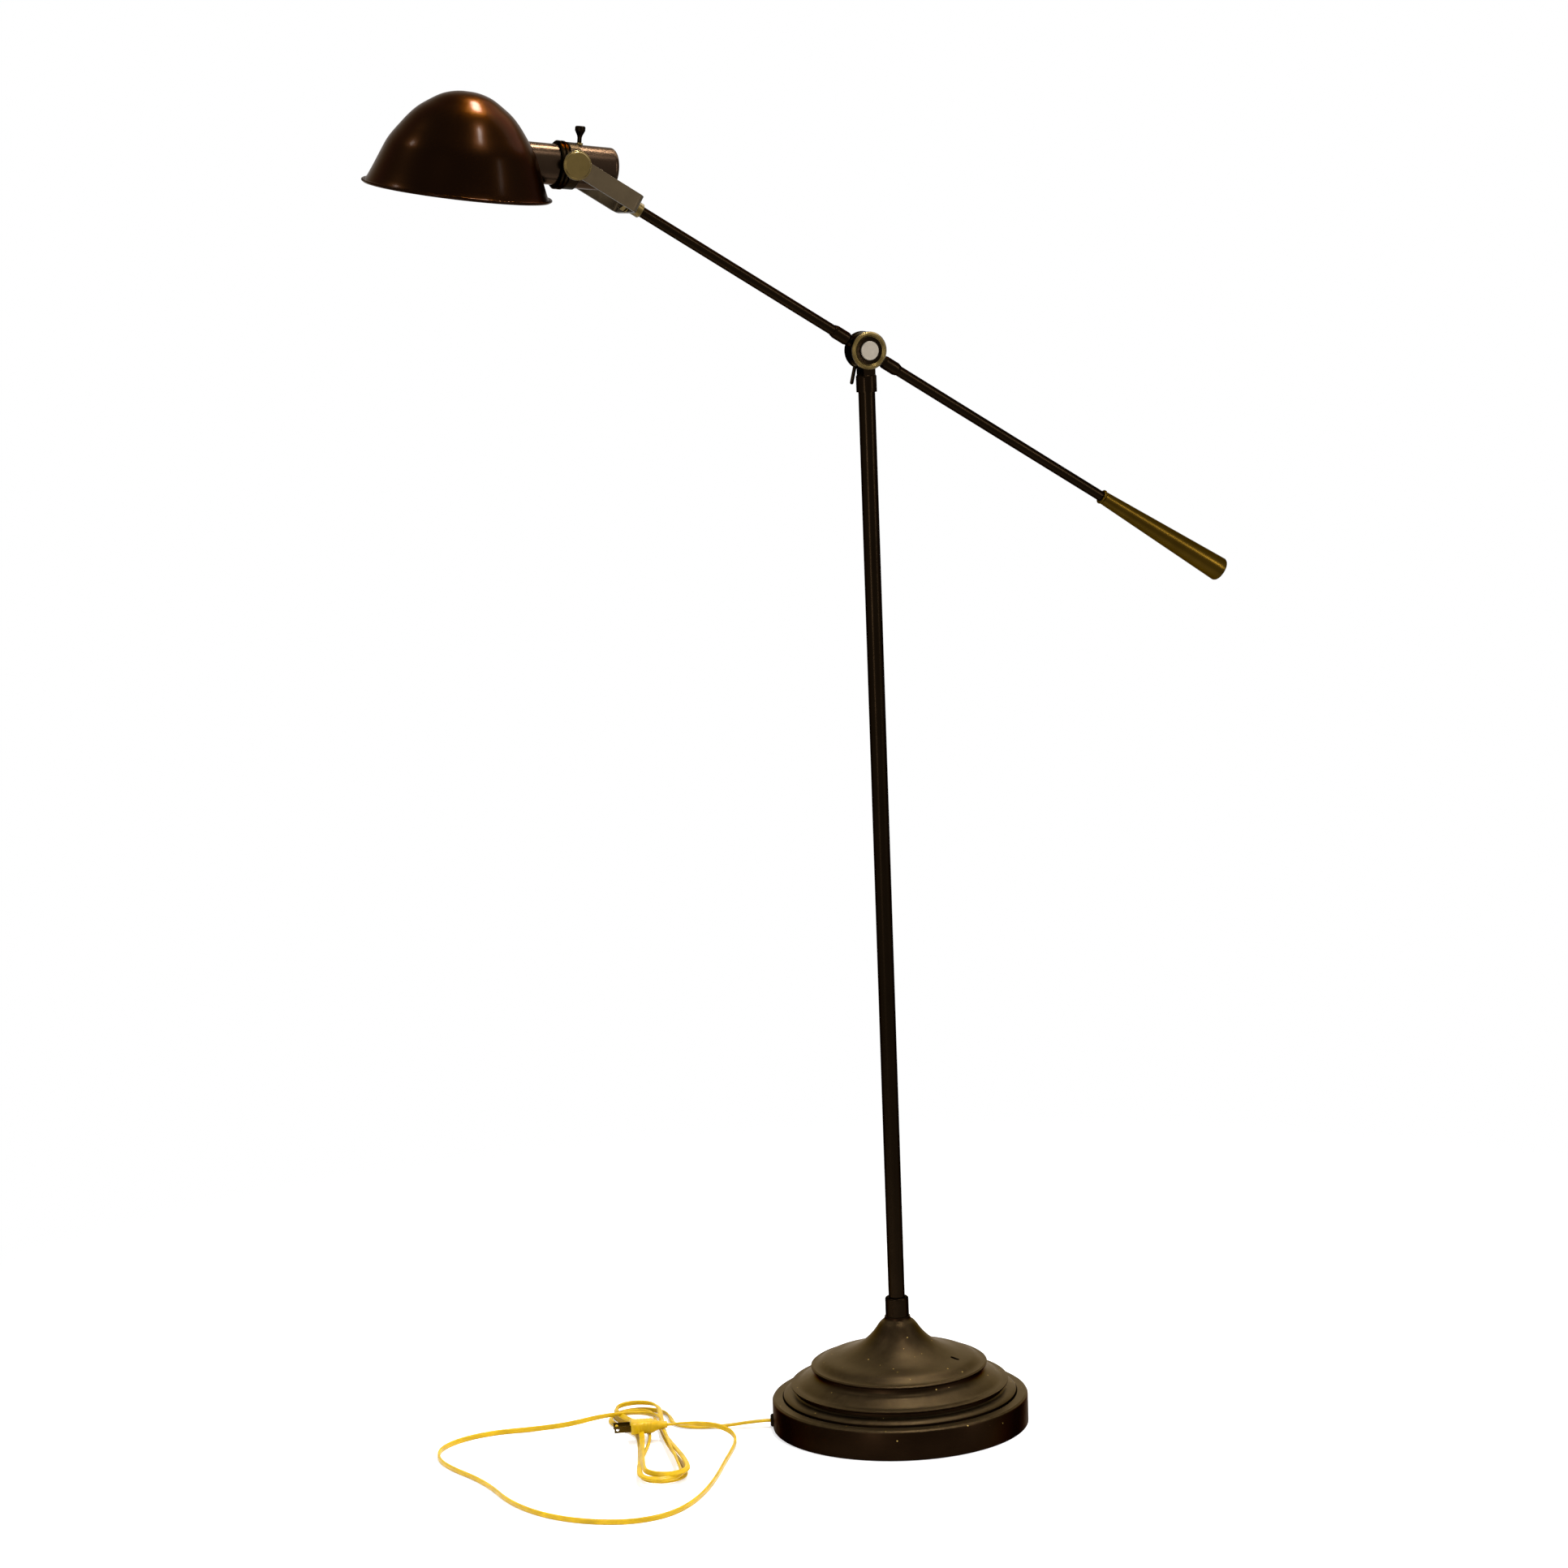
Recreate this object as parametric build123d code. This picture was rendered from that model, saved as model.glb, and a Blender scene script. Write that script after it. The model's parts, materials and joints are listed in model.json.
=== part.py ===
from build123d import *
import math
import os

# Adjustable floor reading lamp, in millimetres.
# Origin: centre of the underside of the base. +Z up, the arm lies in the XZ plane,
# the shade hangs on the -X side and the counterweight on the +X side.

# Clearances
fit = 0.05            # turned pin in its bore
slip = 0.3            # faces of two bodies that move past each other
overrun = 2.0         # cuts run past their piece by this much

# Base
base_radius = 125.0
felt_thickness = 1.5
felt_inset = 7.0
drum_wall = 1.3
drum_foot = 0.6       # height of the drum's lower edge
drum_height = 29.5
drum_edge = 2.5
ring_inset = 11.4     # from the drum's edge in to the raised ring
ring_width = 5.1
ring_rise = 3.8
groove = 1.2
cove_inset = 22.5
cover_seat = 40.5     # height at which the stepped cover rests on the drum
cover_wall = 1.4
lip_overhang = 3.5    # of the cover's lip past the drum's cove
lip_height = 3.0
dish_inset = 20.0     # from the lip in to the dish
dish_height = 58.5
stem_radius = 12.5    # top of the trumpet
stem_height = 108.0
slot_length = 9.0
slot_width = 4.0
slot_inset = 26.0
slot_bearing = -49.8
weight_recess = 16.0
weight_recess_depth = 12.0
channel_width = 12.0
channel_height = 12.0

# Pole and its fixing
pole_radius = 8.0
pole_wall = 1.2
collar_radius = 11.5
collar_height = 19.0
collar_round = 2.0
nipple_radius = 5.0
nipple_wall = 1.0
nipple_tail = 10.0
pole_plug_height = 26.0
washer_radius = 14.0
washer_thickness = 2.0
nut_across = 17.0
nut_thickness = 5.0

# Knuckle
pivot_height = 1046.0
arm_tilt = 32.0       # degrees above level, shade end up
hub_radius = 17.5
hub_half = 6.1
friction_thickness = 0.5
friction_radius = 15.0
cheek_radius = 18.0
cheek_thickness = 1.8
fork_tab_half = 6.0
sleeve_radius = 9.8
sleeve_bottom = 39.0  # below the pivot
sleeve_shoulder = 24.0
sleeve_crown = 18.7
sleeve_crown_radius = 5.0
sleeve_bore_depth = 12.0
bezel_inner = 13.1
bezel_bead = 2.4
bezel_plate = 0.6
pivot_shank = 4.0
pivot_head_radius = 9.0
pivot_head = 2.3
pivot_head_edge = 0.6
lever_hub_radius = 8.5
lever_hub_length = 11.5
lever_bar_radius = 1.8
lever_reach = 32.0
lever_angle = 14.0    # the lever hangs this far from straight down
lever_nut_radius = 5.5
lever_nut_height = 2.5

# Arm
tube_radius = 5.0
tube_wall = 0.8
ferrule_radius = 6.3
ferrule_neck = 5.4
ferrule_start = 20.0
ferrule_taper = 3.0
ferrule_end = 39.0
ferrule_depth = 15.0
coupling_radius = 7.0
coupling_length = 11.0
coupling_edge = 0.8
coupling_bore = 8.0
weight_start = 291.0
weight_length = 154.0
weight_small = 6.5
weight_large = 12.0
weight_edge = 2.0
weight_bore = 20.0
weight_crown = 1.2
joint_ring_radius = 7.3
joint_ring_length = 3.0

# Yoke
yoke_reach = 345.0    # from the knuckle's pivot to the yoke's pivot
yoke_length = 72.0    # from its crossbar to its pivot
yoke_gap_half = 22.8
yoke_thickness = 2.7
yoke_width = 17.0
yoke_bend = 6.0
yoke_screw = 2.5
yoke_cap_radius = 13.5
yoke_cap = 2.8
yoke_cap_edge = 1.0
yoke_washer = 3.9
yoke_washer_thickness = 1.2
yoke_nipple = 4.0
yoke_nut_across = 15.0
yoke_nut_thickness = 4.5
yoke_nut_washer = 9.5
yoke_nut_washer_thickness = 1.2

# Head, measured from the yoke's pivot towards the shade
head_tilt = 7.0       # degrees above level
shade_roll = -6.8     # degrees about the head's own axis
cup_back = 45.0
cup_radius = 19.8
cup_wall = 1.2
cup_round = 5.0
ring_back = 7.0
ring_front = 4.0
swivel_ring_radius = 21.3
ring_edge = 1.0
bead_radius = 22.1
bead_length = 4.0
neck_radius = 18.6
neck_wall = 0.8
neck_front = 44.0
spigot_wall = 0.7
spigot_length = 10.0
boss_radius = 3.9
boss_inset = 5.5

# Lampholder and bulb
liner_radius = 16.5
liner_wall = 1.6
holder_front = 32.0
holder_back = 4.0     # behind the yoke's pivot
holder_wall = 0.6
switch_radius = 15.0
switch_length = 26.0
contact_radius = 4.0
contact_height = 1.5
bulb_cap_radius = 13.0
bulb_cap_length = 26.0
bulb_cap_wall = 0.4
bulb_tip_radius = 4.5
bulb_seal = 5.0
bulb_radius = 30.0
bulb_wall = 0.8
bulb_length = 106.0

# Key
key_place = -10.5
key_height = 16.8     # above the cup
key_stem = 2.0
key_bush_radius = 3.4
key_bush_height = 1.6
key_knob_radius = 4.8
key_knob_height = 6.6
key_knob_edge = 1.3
key_cone_height = 4.0
key_depth = 3.0

# Shade
shade_place = 102.4   # its axis, from the yoke's pivot
shade_rim_radius = 85.0
shade_height = 89.5
shade_drop = 32.0     # its rim plane below the head's axis
shade_wall = 0.9
rim_bead = 1.3

# Cord
cord_diameter = 4.2   # round of the flat twin flex, 5.4 by 2.7
cord_layer = 4.8      # one layer of turns above the next
grommet_radius = 4.8
grommet_flange_radius = 6.4
grommet_flange = 2.5
grommet_depth = 6.0
grommet_height = 7.0
grommet_bearing = 156.7
plug_length = 26.0
plug_width = 20.0
plug_height = 13.0
plug_round = 3.0
plug_neck_length = 10.0
plug_neck_radius = 5.0
plug_neck_tip = 3.2
blade_length = 16.0
blade_width = 6.3
blade_thickness = 1.5
blade_spacing = 12.7
blade_hole = 3.2

# Hank: its waist lies behind and left of the base, its turns are half circles of their own
# reach and radius, and the plug rests on top of it
hank_waist = (-238.0, 78.0)
hank_bearing = 73.3
waist_half = 15.0
waist_step = 9.0
turn_radius = 30.0
turn_step = 7.0
top_reach = 88.0
bottom_reach = 158.0
reach_step = 8.5
turn_swing = 7.0      # how far the upper turns fan out to the side
last_climb = 22.0     # length over which the last strand climbs onto the second layer
last_radius = 26.0
plug_back = 8.0       # the plug lies across the hank this far below the waist

# Route of the free stretches, chosen on the floor; heights are those of the cord's centre
run_points = [(-131, 56.4, 6.6), (-153, 66.5, 3.4), (-173, 75.5, 2.1), (-190, 86, 2.1)]
run_lead = 24.0
loop_lead = 28.0
loop_points = [(-294, 141, 5.6), (-327, 156, 2.1), (-362, 165, 2.1), (-397, 161, 2.1), (-427, 143, 2.1),
               (-440, 112, 2.1), (-438, 78, 2.1), (-428, 40, 2.1), (-424, 2, 2.1), (-425, -36, 2.1),
               (-419, -72, 2.1), (-405, -106, 2.1), (-381, -135, 2.1), (-348, -155, 2.1),
               (-312, -155, 2.1), (-280, -136, 2.1), (-250, -104, 2.1), (-225, -70, 2.1),
               (-203, -36, 2.1), (-182, -5, 2.1), (-168, 17, 3.0), (-164, 37, 6.0), (-174, 52, 10.5)]
plug_lead = 20.0
arc_share = 0.45      # of the shorter run, taken by each rounded corner
tiny = 1e-6

# Heights and places that follow
ring_radius = base_radius - ring_inset
ring_inner = ring_radius - ring_width
cove_radius = base_radius - cove_inset
lip_radius = cove_radius + lip_overhang
dish_radius = lip_radius - dish_inset
slot_place = dish_radius - slot_inset
nipple_bottom = felt_thickness + slip
collar_top = stem_height + collar_height
cheek_inner = hub_half + friction_thickness
cheek_outer = cheek_inner + cheek_thickness
bezel_front = cheek_outer + bezel_bead
pole_top = pivot_height - sleeve_bottom + sleeve_bore_depth
weight_end = weight_start + weight_length
yoke_outer = yoke_gap_half + yoke_thickness
crossbar_place = yoke_reach - yoke_length
crossbar_inner = crossbar_place + yoke_thickness

# Frames of the tilted pieces: X runs along the piece towards the shade, Z is its upper side
def tilted(origin, angle):
    turn = math.radians(angle)
    along = (-math.cos(turn), 0, math.sin(turn))
    upper = (math.sin(turn), 0, math.cos(turn))
    return Plane(origin=origin, x_dir=along, z_dir=upper).location


arm_frame = tilted((0, 0, pivot_height), arm_tilt)
yoke_pivot = (arm_frame * Pos(yoke_reach, 0, 0)).position
head_frame = tilted(yoke_pivot, head_tilt)
shade_frame = head_frame * Rot(shade_roll, 0, 0) * Pos(shade_place, 0, -shade_drop)


# Shared shapes
def upright(outline):
    """Turn an outline of (radius, height) about the vertical axis."""
    return revolve(Plane.XZ * outline, Axis.Z)


def lying(outline):
    """Turn an outline of (length, radius) about the X axis."""
    return revolve(outline, Axis.X)


def across(outline):
    """Turn an outline of (offset, radius) about the axis that lies across the arm, front first."""
    return Rot(0, 0, 90) * revolve(outline, Axis.X)


def closed(*points):
    return make_face(Polyline(*points, close=True))


def tube(start, end, outer, inner):
    return closed((start, inner), (end, inner), (end, outer), (start, outer))


def bar(start, end, radius):
    return closed((start, 0), (end, 0), (end, radius), (start, radius))


def offset_points(points, wall):
    """Shift an open outline to its right by the wall, mitred at the corners."""
    shifted = []
    for index, point in enumerate(points):
        before = points[max(index - 1, 0)]
        after = points[min(index + 1, len(points) - 1)]
        normals = []
        for a, b in ((before, point), (point, after)):
            length = math.dist(a, b)
            if length > 0:
                normals.append(((b[1] - a[1]) / length, (a[0] - b[0]) / length))
        nx = sum(n[0] for n in normals) / len(normals)
        ny = sum(n[1] for n in normals) / len(normals)
        square = nx * nx + ny * ny
        shifted.append((point[0] + wall * nx / square, point[1] + wall * ny / square))
    return shifted


def smooth_band(points, wall, first, last):
    """Band of even thickness along a smooth outline; first and last are its end directions."""
    inner = offset_points(points, wall)
    for end, direction in ((0, first), (-1, last)):
        step = wall / math.hypot(*direction)
        inner[end] = (points[end][0] + step * direction[1], points[end][1] - step * direction[0])
    outer_edge = Spline(*points, tangents=[first, last])
    inner_edge = Spline(*inner, tangents=[first, last])
    ends = [Line(points[0], inner[0]), Line(points[-1], inner[-1])]
    return make_face([outer_edge, inner_edge, *ends])


def hex_nut(across_flats, thickness, bore):
    outline = RegularPolygon(across_flats / 2, 6, major_radius=False) - Circle(bore)
    return extrude(outline, thickness)


def write(name, shape):
    solids = shape.solids() if not isinstance(shape, list) else [s for part in shape for s in part.solids()]
    result = solids[0] if len(solids) == 1 else Compound(children=solids)
    result.label = name
    export_step(result, os.path.join("parts", name + ".step"))


# Base
def base_felt_pad():
    return extrude(Circle(base_radius - felt_inset), felt_thickness)


def base_weight():
    radius = base_radius - drum_wall - slip
    shoulder = drum_height - drum_wall - drum_edge
    body = upright(closed((nipple_radius + fit, felt_thickness), (radius, felt_thickness),
                          (radius, shoulder - drum_edge), (radius - drum_edge, shoulder),
                          (nipple_radius + fit, shoulder)))
    body -= extrude(Plane.XY.offset(felt_thickness) * Circle(weight_recess), weight_recess_depth)
    channel = Pos(radius / 2, 0, felt_thickness + channel_height / 2) * Box(radius + overrun, channel_width,
                                                                           channel_height)
    return body - Rot(0, 0, grommet_bearing) * channel


def drum_points():
    shoulder = drum_height + groove / 2
    ring_top = drum_height + ring_rise
    return [(base_radius, drum_foot),
            (base_radius, drum_height - drum_edge),
            (base_radius - drum_edge / 4, drum_height - drum_edge / 2),
            (base_radius - drum_edge, drum_height),
            (ring_radius + groove, shoulder),
            (ring_radius, shoulder - groove),
            (ring_radius, ring_top - groove),
            (ring_radius - groove, ring_top),
            (ring_inner, ring_top + groove),
            (cove_radius + groove, ring_top + 2 * groove),
            (cove_radius, ring_top + 3 * groove),
            (cove_radius, cover_seat)]


def base_drum():
    outer = drum_points()
    inner = offset_points(outer, -drum_wall)
    body = upright(closed(*outer, *reversed(inner)))
    hole = Plane(origin=(0, 0, grommet_height), x_dir=(0, 1, 0), z_dir=(1, 0, 0)) * Circle(grommet_radius)
    return body - Rot(0, 0, grommet_bearing) * extrude(hole, base_radius + overrun)


ogee_radius_shares = (0.885, 0.80)
ogee_height_shares = (0.26, 0.62)
dish_radius_shares = (0.86, 0.70, 0.56, 0.42, 0.325, 0.245, 0.18)
dish_height_shares = (0.10, 0.185, 0.28, 0.42, 0.57, 0.75, 0.90)


def base_cover():
    lip_top = cover_seat + lip_height
    dish_top = dish_height + lip_height
    rise = dish_height - lip_top
    climb = stem_height - dish_top
    ogee = [(lip_radius - lip_height, lip_top)]
    for radius_share, height_share in zip(ogee_radius_shares, ogee_height_shares):
        ogee.append((lip_radius * radius_share, lip_top + rise * height_share))
    ogee.append((dish_radius - lip_height, dish_height))
    dish = [(dish_radius - lip_height / 2, dish_top)]
    for radius_share, height_share in zip(dish_radius_shares, dish_height_shares):
        dish.append((dish_radius * radius_share, dish_top + climb * height_share))
    dish.append((stem_radius, stem_height))
    skirt = smooth_band(ogee, -cover_wall, (-1, 0), (0, 1))
    trumpet = smooth_band(dish, -cover_wall, (-1, 0), (0, 1))
    lower_lip = closed((cove_radius - cover_wall, cover_seat), (lip_radius - lip_height / 3, cover_seat),
                       (lip_radius, cover_seat + lip_height / 3), (lip_radius, lip_top - lip_height / 3),
                       (lip_radius - lip_height, lip_top), (cove_radius - cover_wall, lip_top - cover_wall))
    upper_lip = closed((dish_radius - lip_height - cover_wall, dish_height), (dish_radius - lip_height / 3,
                       dish_height), (dish_radius, dish_height + lip_height / 3),
                       (dish_radius, dish_top - lip_height / 3), (dish_radius - lip_height / 2, dish_top),
                       (dish_radius - lip_height - cover_wall, dish_top - cover_wall))
    top_floor = stem_height - 2 * cover_wall
    top = closed((nipple_radius + fit, top_floor), (stem_radius - cover_wall / 2, top_floor),
                 (stem_radius, stem_height), (nipple_radius + fit, stem_height))
    body = upright(skirt) + upright(lower_lip) + upright(upper_lip) + upright(trumpet) + upright(top)
    slot = extrude(Plane.XY.offset(dish_height) * SlotOverall(slot_length, slot_width), stem_height / 2)
    return body - Rot(0, 0, slot_bearing) * Pos(slot_place, 0, 0) * slot


def base_nipple():
    top = stem_height + pole_plug_height - nipple_tail / 2
    ring = Circle(nipple_radius) - Circle(nipple_radius - nipple_wall)
    return extrude(Plane.XY.offset(nipple_bottom) * ring, top - nipple_bottom)


def base_washer():
    seat = felt_thickness + weight_recess_depth - washer_thickness
    return extrude(Plane.XY.offset(seat) * (Circle(washer_radius) - Circle(nipple_radius + fit)),
                   washer_thickness)


def base_nut():
    seat = felt_thickness + weight_recess_depth - washer_thickness - nut_thickness
    return Pos(0, 0, seat) * hex_nut(nut_across, nut_thickness, nipple_radius + fit)


# Pole
def pole_collar():
    bore = pole_radius + fit
    body = upright(closed((bore, stem_height), (collar_radius, stem_height), (collar_radius, collar_top),
                          (bore, collar_top)))
    return fillet(body.edges().group_by(Axis.Z)[-1].sort_by(SortBy.RADIUS)[-1], collar_round)


def pole():
    ring = Circle(pole_radius) - Circle(pole_radius - pole_wall)
    return extrude(Plane.XY.offset(stem_height) * ring, pole_top - stem_height)


def pole_foot_plug():
    ring = Circle(pole_radius - pole_wall - fit) - Circle(nipple_radius + fit)
    return extrude(Plane.XY.offset(stem_height) * ring, pole_plug_height)


# Knuckle
def knuckle_fork():
    bottom = -sleeve_bottom
    sleeve = upright(closed((0, bottom + sleeve_bore_depth), (pole_radius + fit, bottom + sleeve_bore_depth),
                            (pole_radius + fit, bottom), (sleeve_radius, bottom),
                            (sleeve_radius, -sleeve_shoulder), (sleeve_crown_radius, -sleeve_crown),
                            (0, -sleeve_crown)))
    cheek = across(tube(cheek_inner, cheek_outer, cheek_radius, pivot_shank + fit))
    tab_bottom = -sleeve_bottom + sleeve_bore_depth + cheek_thickness
    tab_top = -pivot_head_radius
    tab = Pos(0, (cheek_inner + cheek_outer) / 2, (tab_top + tab_bottom) / 2)
    tab *= Box(2 * fork_tab_half, cheek_thickness, tab_top - tab_bottom)
    half = cheek + tab
    other = mirror(half, Plane.XZ)
    return Pos(0, 0, pivot_height) * (sleeve + half + other)


def knuckle_washers():
    ring = across(tube(hub_half, cheek_inner, friction_radius, pivot_shank + fit))
    return [Pos(0, 0, pivot_height) * ring, Pos(0, 0, pivot_height) * mirror(ring, Plane.XZ)]


def knuckle_bezel():
    back = -cheek_outer
    front = -bezel_front
    bead = cheek_radius - bezel_inner
    outline = [(back, pivot_shank + fit), (back, cheek_radius), (front + bead / 3, cheek_radius),
               (front, cheek_radius - bead / 3), (front, bezel_inner + bead / 3),
               (front + bead / 3, bezel_inner), (back - bezel_plate * 2, bezel_inner),
               (back - bezel_plate, pivot_head_radius), (back - bezel_plate, pivot_shank + fit)]
    return Pos(0, 0, pivot_height) * across(closed(*outline))


def pivot_bolt():
    seat = -cheek_outer - bezel_plate
    face = seat - pivot_head
    end = cheek_outer + slip + lever_hub_length + lever_nut_height
    outline = [(face, 0), (face, pivot_head_radius - pivot_head_edge),
               (face + pivot_head_edge, pivot_head_radius), (seat, pivot_head_radius), (seat, pivot_shank),
               (end, pivot_shank), (end, 0)]
    return Pos(0, 0, pivot_height) * across(closed(*outline))


def lever_hub():
    start = cheek_outer + slip
    end = start + lever_hub_length
    step = lever_hub_length / 3
    outline = [(start, pivot_shank + fit), (start, lever_hub_radius), (start + step, lever_hub_radius),
               (start + step, lever_hub_radius - pivot_head_edge), (end - pivot_head_edge,
               lever_hub_radius - pivot_head_edge), (end, lever_hub_radius - 2 * pivot_head_edge),
               (end, pivot_shank + fit)]
    return Pos(0, 0, pivot_height) * across(closed(*outline))


def lever_bar():
    reach = lever_reach - lever_hub_radius + pivot_head_edge
    rod = Cylinder(lever_bar_radius, reach, align=(Align.CENTER, Align.CENTER, Align.MAX))
    end = Pos(0, 0, -reach) * Sphere(lever_bar_radius)
    middle = cheek_outer + slip + lever_hub_length * 2 / 3
    flat = Pos(0, 0, -lever_hub_radius + 2 * pivot_head_edge) * (rod + end)
    flat -= across(bar(-lever_hub_length, lever_hub_length, lever_hub_radius - pivot_head_edge + fit))
    return Pos(0, middle, pivot_height) * Rot(0, lever_angle, 0) * flat


def lever_nut():
    start = cheek_outer + slip + lever_hub_length
    outline = tube(start, start + lever_nut_height, lever_nut_radius, pivot_shank + fit)
    return Pos(0, 0, pivot_height) * across(outline)


# Arm
def arm_hub():
    hub = across(tube(-hub_half, hub_half, hub_radius, pivot_shank + fit))
    depth = ferrule_end - ferrule_depth
    bore = tube_radius + fit
    outline = [(0, 0), (depth, 0), (depth, bore), (ferrule_end, bore),
               (ferrule_end, ferrule_radius - tube_wall), (ferrule_end - ferrule_taper, ferrule_radius),
               (ferrule_start + ferrule_taper, ferrule_radius), (ferrule_start, ferrule_neck),
               (0, ferrule_neck)]
    ferrule = lying(closed(*outline))
    body = ferrule + mirror(ferrule, Plane.YZ)
    body -= across(bar(-2 * hub_half, 2 * hub_half, hub_radius - tube_wall))
    return arm_frame * (body + hub)


def front_arm_tube():
    start = ferrule_end - ferrule_depth
    end = crossbar_place - coupling_length + coupling_bore
    return arm_frame * lying(tube(start, end, tube_radius, tube_radius - tube_wall))


def rear_arm_tube():
    start = ferrule_end - ferrule_depth
    end = weight_start + joint_ring_length + weight_bore
    return arm_frame * lying(tube(-end, -start, tube_radius, tube_radius - tube_wall))


def weight_joint_ring():
    start = weight_start
    end = weight_start + joint_ring_length
    third = joint_ring_length / 3
    outline = [(-start, tube_radius + fit), (-start, joint_ring_radius - third), (-start - third,
               joint_ring_radius), (-end + third, joint_ring_radius), (-end, joint_ring_radius - third),
               (-end, tube_radius + fit)]
    return arm_frame * lying(closed(*outline))


def counterweight():
    start = weight_start + joint_ring_length
    floor = start + weight_bore
    bore = tube_radius + fit
    outline = [(-start, bore), (-start, weight_small), (-weight_end + weight_edge, weight_large),
               (-weight_end + weight_edge / 3, weight_large - weight_edge / 3),
               (-weight_end, weight_large - weight_edge), (-weight_end - weight_crown, weight_large / 3),
               (-weight_end - weight_crown, 0), (-floor, 0), (-floor, bore)]
    return arm_frame * lying(closed(*outline))


def yoke_coupling():
    end = crossbar_place
    start = end - coupling_length
    step = start + coupling_bore
    outline = [(start, tube_radius + fit), (start, coupling_radius - coupling_edge),
               (start + coupling_edge, coupling_radius), (end - coupling_edge, coupling_radius),
               (end, coupling_radius - coupling_edge), (end, yoke_nipple + fit), (step, yoke_nipple + fit),
               (step, tube_radius + fit)]
    return arm_frame * lying(closed(*outline))


def yoke():
    half = yoke_width / 2
    plate = Pos((crossbar_place + yoke_reach) / 2, yoke_gap_half + yoke_thickness / 2, 0)
    plate *= Box(yoke_reach - crossbar_place, yoke_thickness, yoke_width)
    ear = Pos(yoke_reach, 0, 0) * across(bar(yoke_gap_half, yoke_outer, half))
    crossbar = Pos(crossbar_place + yoke_thickness / 2, 0, 0)
    crossbar *= Box(yoke_thickness, 2 * yoke_outer, yoke_width)
    sides = plate + ear
    body = sides + mirror(sides, Plane.XZ) + crossbar
    corners = body.edges().filter_by(Axis.Z).group_by(Axis.X)
    body = fillet(corners[0], yoke_bend)
    inner = body.edges().filter_by(Axis.Z).filter_by(lambda e: abs(e.center().X - crossbar_inner) < fit)
    body = fillet(inner, yoke_bend - yoke_thickness)
    body -= Pos(yoke_reach, 0, 0) * across(bar(-yoke_outer - overrun, yoke_outer + overrun, yoke_screw + fit))
    body -= lying(bar(crossbar_place - overrun, crossbar_inner + overrun, yoke_nipple + fit))
    return arm_frame * body


def yoke_nipple_tube():
    start = crossbar_place - coupling_length + coupling_bore
    end = crossbar_inner + yoke_nut_washer_thickness + yoke_nut_thickness + yoke_thickness
    return arm_frame * lying(tube(start, end, yoke_nipple, yoke_nipple - tube_wall))


def yoke_nut_ring():
    end = crossbar_inner + yoke_nut_washer_thickness
    return arm_frame * lying(tube(crossbar_inner, end, yoke_nut_washer, yoke_nipple + fit))


def yoke_lock_nut():
    start = crossbar_inner + yoke_nut_washer_thickness
    nut = hex_nut(yoke_nut_across, yoke_nut_thickness, yoke_nipple + fit)
    return arm_frame * Pos(start, 0, 0) * Rot(0, 90, 0) * nut


# Head
def socket_cup():
    outer = Rot(0, 90, 0) * Cylinder(cup_radius, cup_back - ring_back)
    outer = Pos(-(cup_back + ring_back) / 2, 0, 0) * outer
    outer = fillet(outer.edges().group_by(Axis.X)[0], cup_round)
    inner = lying(bar(-cup_back + cup_wall, overrun, cup_radius - cup_wall))
    inner = fillet(inner.edges().group_by(Axis.X)[0], cup_round - cup_wall)
    hole = Pos(key_place, 0, 0) * Cylinder(key_stem + fit, cup_radius + overrun,
                                           align=(Align.CENTER, Align.CENTER, Align.MIN))
    return head_frame * (outer - inner - hole)


def socket_ring():
    spigot_outer = neck_radius - neck_wall - fit
    inner = spigot_outer - spigot_wall
    outline = [(-ring_back, inner), (-ring_back, swivel_ring_radius - ring_edge),
               (-ring_back + ring_edge, swivel_ring_radius), (ring_front - ring_edge, swivel_ring_radius),
               (ring_front, swivel_ring_radius - ring_edge), (ring_front, spigot_outer),
               (ring_front + spigot_length, spigot_outer), (ring_front + spigot_length, inner)]
    body = lying(closed(*outline))
    boss = across(bar(swivel_ring_radius - boss_inset / 2, yoke_gap_half - yoke_washer_thickness, boss_radius))
    body += boss + mirror(boss, Plane.XZ)
    body -= across(bar(-yoke_outer, yoke_outer, yoke_screw + fit))
    body -= lying(bar(-ring_back - overrun, ring_front, inner))
    return head_frame * body


def yoke_washers():
    start = yoke_gap_half - yoke_washer_thickness
    ring = across(tube(start, yoke_gap_half - fit, yoke_washer, yoke_screw + fit))
    return [head_frame * ring, head_frame * mirror(ring, Plane.XZ)]


def pivot_screws():
    inner = neck_radius - neck_wall
    seat = yoke_outer + fit
    face = seat + yoke_cap
    outline = [(inner, 0), (face, 0), (face, yoke_cap_radius - 2 * yoke_cap_edge),
               (face - yoke_cap_edge, yoke_cap_radius - yoke_cap_edge),
               (face - yoke_cap_edge, yoke_cap_radius), (seat, yoke_cap_radius), (seat, yoke_screw),
               (inner, yoke_screw)]
    screw = across(closed(*outline))
    return [head_frame * screw, head_frame * mirror(screw, Plane.XZ)]


def switch_body():
    start = -holder_back - switch_length
    body = lying(bar(start, -holder_back, switch_radius))
    bore = Pos(key_place, 0, switch_radius - key_depth) * Cylinder(key_stem + fit, key_depth + overrun,
                                                                   align=(Align.CENTER, Align.CENTER, Align.MIN))
    return head_frame * (body - bore)


def lampholder_liner():
    return head_frame * lying(tube(-holder_back, holder_front, liner_radius, liner_radius - liner_wall))


def lampholder_shell():
    outer = liner_radius - liner_wall
    inner = outer - holder_wall
    outline = [(-holder_back, contact_radius + holder_wall), (-holder_back, outer), (holder_front - liner_wall,
               outer), (holder_front - liner_wall, inner), (-holder_back + holder_wall, inner),
               (-holder_back + holder_wall, contact_radius + holder_wall)]
    return head_frame * lying(closed(*outline))


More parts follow.
